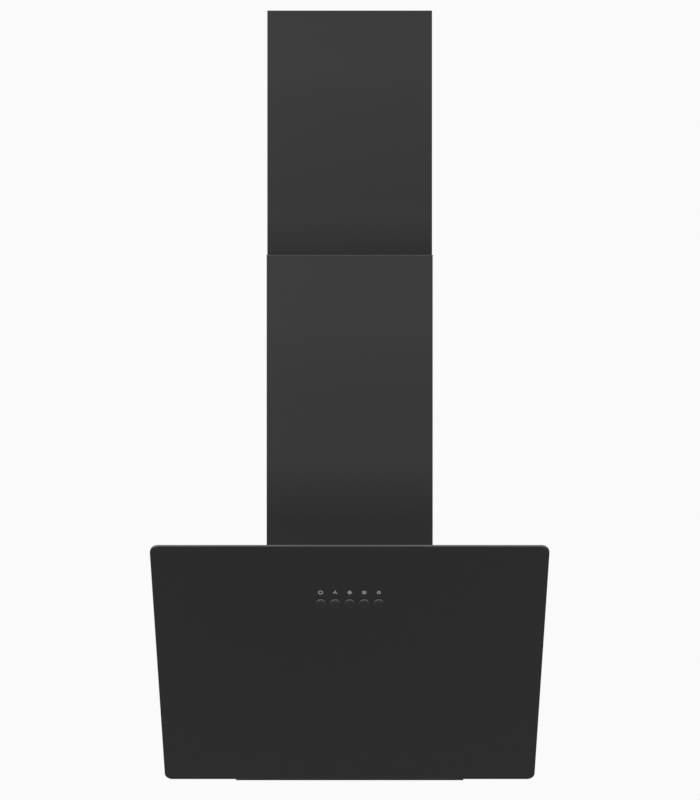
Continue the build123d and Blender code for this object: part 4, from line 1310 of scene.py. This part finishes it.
@dataclass
class OutletCollar(Assembly):
    """Outlet collar and its flaps: screws, gussets, seal and ribs."""

    middle: float = -102.5 * MM
    top: float = 158.5 * MM
    radius: float = 74.75 * MM
    gusset_angles: range = range(0, 360, 30)
    gusset_sink: float = 0.4 * MM
    gusset_thickness: float = 1.6 * MM
    seal_sink: float = 0.2 * MM
    seal_rise: float = 28 * MM
    screw_place: float = 79 * MM
    flap_start: float = 9 * MM
    flap_face: float = 157.4 * MM
    flap_ribs: Points = (mm(-30, 50), (0, 56 * MM), mm(30, 50))
    flap_rib: Point = mm(1.2, 0.9)

    def collar(self) -> None:
        """Gussets round the collar's foot, its seal and its screws."""
        gussets = self.piece("collar_gussets", Finishes.collar_plastic)
        web = outline((0, -0.2), (9, -0.2), (0, 5), start=self.radius - self.gusset_sink)
        for angle in self.gusset_angles:
            place = moved(0, self.middle, self.top) @ turned(angle)
            gussets.web(web, self.gusset_thickness, place)
        gussets.finish_piece()
        seal = self.piece("collar_seal", Finishes.rubber)
        lips = ((0, 0), (0.9, 0.8), (0.5, 1.6), (0.9, 2.4), (0, 3.4))
        lips = outline(*lips, start=self.radius - self.seal_sink)
        seal.lathe(lips, moved(0, self.middle, self.top + self.seal_rise))
        seal.finish_piece("latch_plastic")
        screws = self.piece("collar_screws", Finishes.machined_steel)
        for side, end in CORNERS:
            spot = (side * self.screw_place, self.middle + end * self.screw_place, self.top)
            screws.pan_screw(facing(UPWARD, spot))
        screws.finish_piece()

    def build(self) -> None:
        """Build everything on the collar and its flaps."""
        self.smooth_copy("duct_collar", Finishes.collar_plastic)
        self.collar()
        width, height = self.flap_rib
        for side, name in zip(SIDES, ("front", "back")):
            ribs = self.piece(f"flap_{name}_ribs", Finishes.collar_plastic, f"{name}_flap")
            start = self.middle + side * self.flap_start
            for across, length in self.flap_ribs:
                place = moved(across, start + side * length / 2, self.flap_face)
                ribs.block((width, length, height), place, edge=0.3 * MM)
            ribs.finish_piece()


# ------------------------------------------------------------------ electrics


@dataclass
class Electrics(Assembly):
    """Lid screws, terminals and tabs of the boxes inside the hood."""

    lid: Triple = mm(155, -32.8, 55)
    lid_screws: Point = mm(39, 24)
    bush: Triple = mm(-98, -187, 163)
    bush_screws: float = 7 * MM
    driver: Triple = mm(-150, -45, -179.2)
    driver_end: float = 33 * MM
    terminal: Triple = mm(10, 26, 5)
    vents: int = 7
    vent_pitch: float = 6 * MM
    vent: Triple = mm(2, 24, 0.8)
    capacitor: Triple = mm(-155, -13, 67)
    tab_spread: float = 12 * MM
    tab: Triple = mm(6.3, 0.8, 8)

    def screws(self) -> None:
        """Screws of the terminal box's lid and of the cable bush."""
        screws = self.piece("electrics_screws", Finishes.machined_steel)
        x, y, z = self.lid
        across, up = self.lid_screws
        for side, end in CORNERS:
            spot = (x + side * across, y, z + end * up)
            screws.pan_screw(facing(FORWARD, spot), radius=2.8 * MM)
        x, y, z = self.bush
        for side in SIDES:
            spot = (x + side * self.bush_screws, y, z)
            screws.pan_screw(facing(FORWARD, spot), radius=2 * MM)
        screws.finish_piece()

    def build(self) -> None:
        """Build the screws, the driver's terminals and vents, and the capacitor's tabs."""
        self.screws()
        blocks = self.piece("terminal_blocks", Finishes.electrical_plastic)
        x, y, top = self.driver
        for side in SIDES:
            place = moved(x + side * self.driver_end, y, top)
            blocks.block(self.terminal, place, edge=0.8 * MM)
        for number in range(self.vents):
            place = moved(x + (number - self.vents // 2) * self.vent_pitch, y, top)
            blocks.block(self.vent, place, edge=0.3 * MM)
        blocks.finish_piece()
        tabs = self.piece("capacitor_tabs", Finishes.copper)
        x, y, top = self.capacitor
        for side in SIDES:
            tabs.block(self.tab, moved(x + side * self.tab_spread, y, top), edge=0.15 * MM)
        tabs.finish_piece("machined_steel")


# ------------------------------------------------------------------ studio


@dataclass(frozen=True)
class AreaLamp:
    """Soft square light, with its power in watts and the length of its sides."""

    name: str
    spot: Triple
    aim: Triple
    power: float
    side: float = 2.4

    def build(self) -> None:
        """Stand the lamp in its place and turn it to its aim."""
        data = bpy.data.lights.new(self.name, "AREA")
        data.shape = "RECTANGLE"
        data.size = data.size_y = self.side
        data.energy = self.power
        lamp = stand(self.name, data)
        lamp.location = self.spot
        along = Vector(self.aim) - Vector(self.spot)
        lamp.rotation_euler = along.to_track_quat("-Z", "Y").to_euler()


@dataclass
class Studio:
    """Camera, floor and lights."""

    camera_distance: float = 3.267
    camera_height: float = 0.4023
    camera_side: float = 0.0005
    focal_pixels: float = 1942.3
    image_height: float = 800.0
    sensor: float = 24.0
    far: float = 50.0
    floor_height: float = -0.97
    floor_half: float = 5.5
    floor_back: float = 3.1
    background: float = 0.957
    ambient: float = 0.5
    lamps: tuple[AreaLamp, ...] = (
        AreaLamp("key_light", (-1.8, -3.0, 1.8), (0, -0.2, 0.3), 52),
        AreaLamp("fill_light", (2.2, -2.8, 1.4), (0, -0.2, 0.2), 32),
        AreaLamp("back_light", (0.6, 2.4, 2.2), (0, 0, 0.3), 25),
    )

    def camera(self) -> None:
        """Level camera in front of the hood."""
        data = bpy.data.cameras.new("camera")
        data.sensor_fit = "VERTICAL"
        data.sensor_height = self.sensor
        data.lens = self.focal_pixels / self.image_height * self.sensor
        data.clip_end = self.far
        eye = stand("camera", data)
        eye.location = (self.camera_side, -self.camera_distance, self.camera_height)
        eye.rotation_euler = (math.pi / 2, 0, 0)
        bpy.context.scene.camera = eye

    def floor(self) -> None:
        """Pale floor under the hood."""
        part = bmesh.new()
        bmesh.ops.create_grid(part, x_segments=8, y_segments=8, size=1.0)
        depth = self.floor_half + self.floor_back
        bmesh.ops.scale(part, vec=(self.floor_half, depth / 2, 1), verts=part.verts)
        middle = (self.floor_back - self.floor_half) / 2
        bmesh.ops.translate(part, vec=(0, middle, self.floor_height), verts=part.verts)
        data = bpy.data.meshes.new("floor")
        part.to_mesh(data)
        part.free()
        plain = Finish("floor_plain", grey(0.6), 0.9, grain=40, variation=0.02)
        data.materials.append(plain.material())
        stand("floor", data)

    def world(self) -> None:
        """Pale surroundings, softer as a source of light than as a background."""
        world = bpy.data.worlds.new("surroundings")
        graph = Graph(world, "ShaderNodeBackground", "ShaderNodeOutputWorld")
        graph.feed("Color", (1, 1, 1))
        rays = graph.node("ShaderNodeLightPath").outputs
        seen = rays["Is Camera Ray"]
        for kind in ("Is Glossy Ray", "Is Transmission Ray"):
            either = graph.node("ShaderNodeMath", {0: seen, 1: rays[kind]}, operation="MAXIMUM")
            seen = either.outputs["Value"]
        graph.feed("Strength", graph.span(seen, (0, 1), (self.ambient, self.background)))
        bpy.context.scene.world = world

    def build(self) -> None:
        """Set up the camera, the floor and the lights."""
        self.camera()
        self.floor()
        self.world()
        for lamp in self.lamps:
            lamp.build()
        bpy.context.scene.view_settings.view_transform = "Standard"


# ------------------------------------------------------------------ the hood


def dress_nodes(nodes: dict[str, bpy.types.Object], subparts: Iterable[dict]) -> None:
    """Give every node of the frame the finish of its material slot.

    Args:
        nodes: The frame's objects by name.
        subparts: The record's list of nodes and their slots.
    """
    # The upper chimney gets the paint with its own painted shade and sheen.
    special = {"upper_chimney": Finishes.upper_paint}
    for entry in subparts:
        name = entry["node"]
        finish = special.get(name, Finishes[entry["material_slot"]])
        finish.apply(nodes[name])
        log.info("%s: %s", name, finish.name)


def main() -> None:
    """Dress the frame, build every piece, and set up the studio."""
    logging.basicConfig(level=logging.INFO, format="%(name)s %(message)s")
    dress_nodes(frame["nodes"], frame["record"]["subparts"])
    assemblies = (
        FrontPanel(), HingePair(), Chimney(), Carcass(), LampStrip(), GreaseFilter(), Impeller(),
        Blower(), OutletCollar(), Electrics(), Studio(),
    )
    for assembly in assemblies:
        assembly.build()


if __name__ == "__main__":
    main()
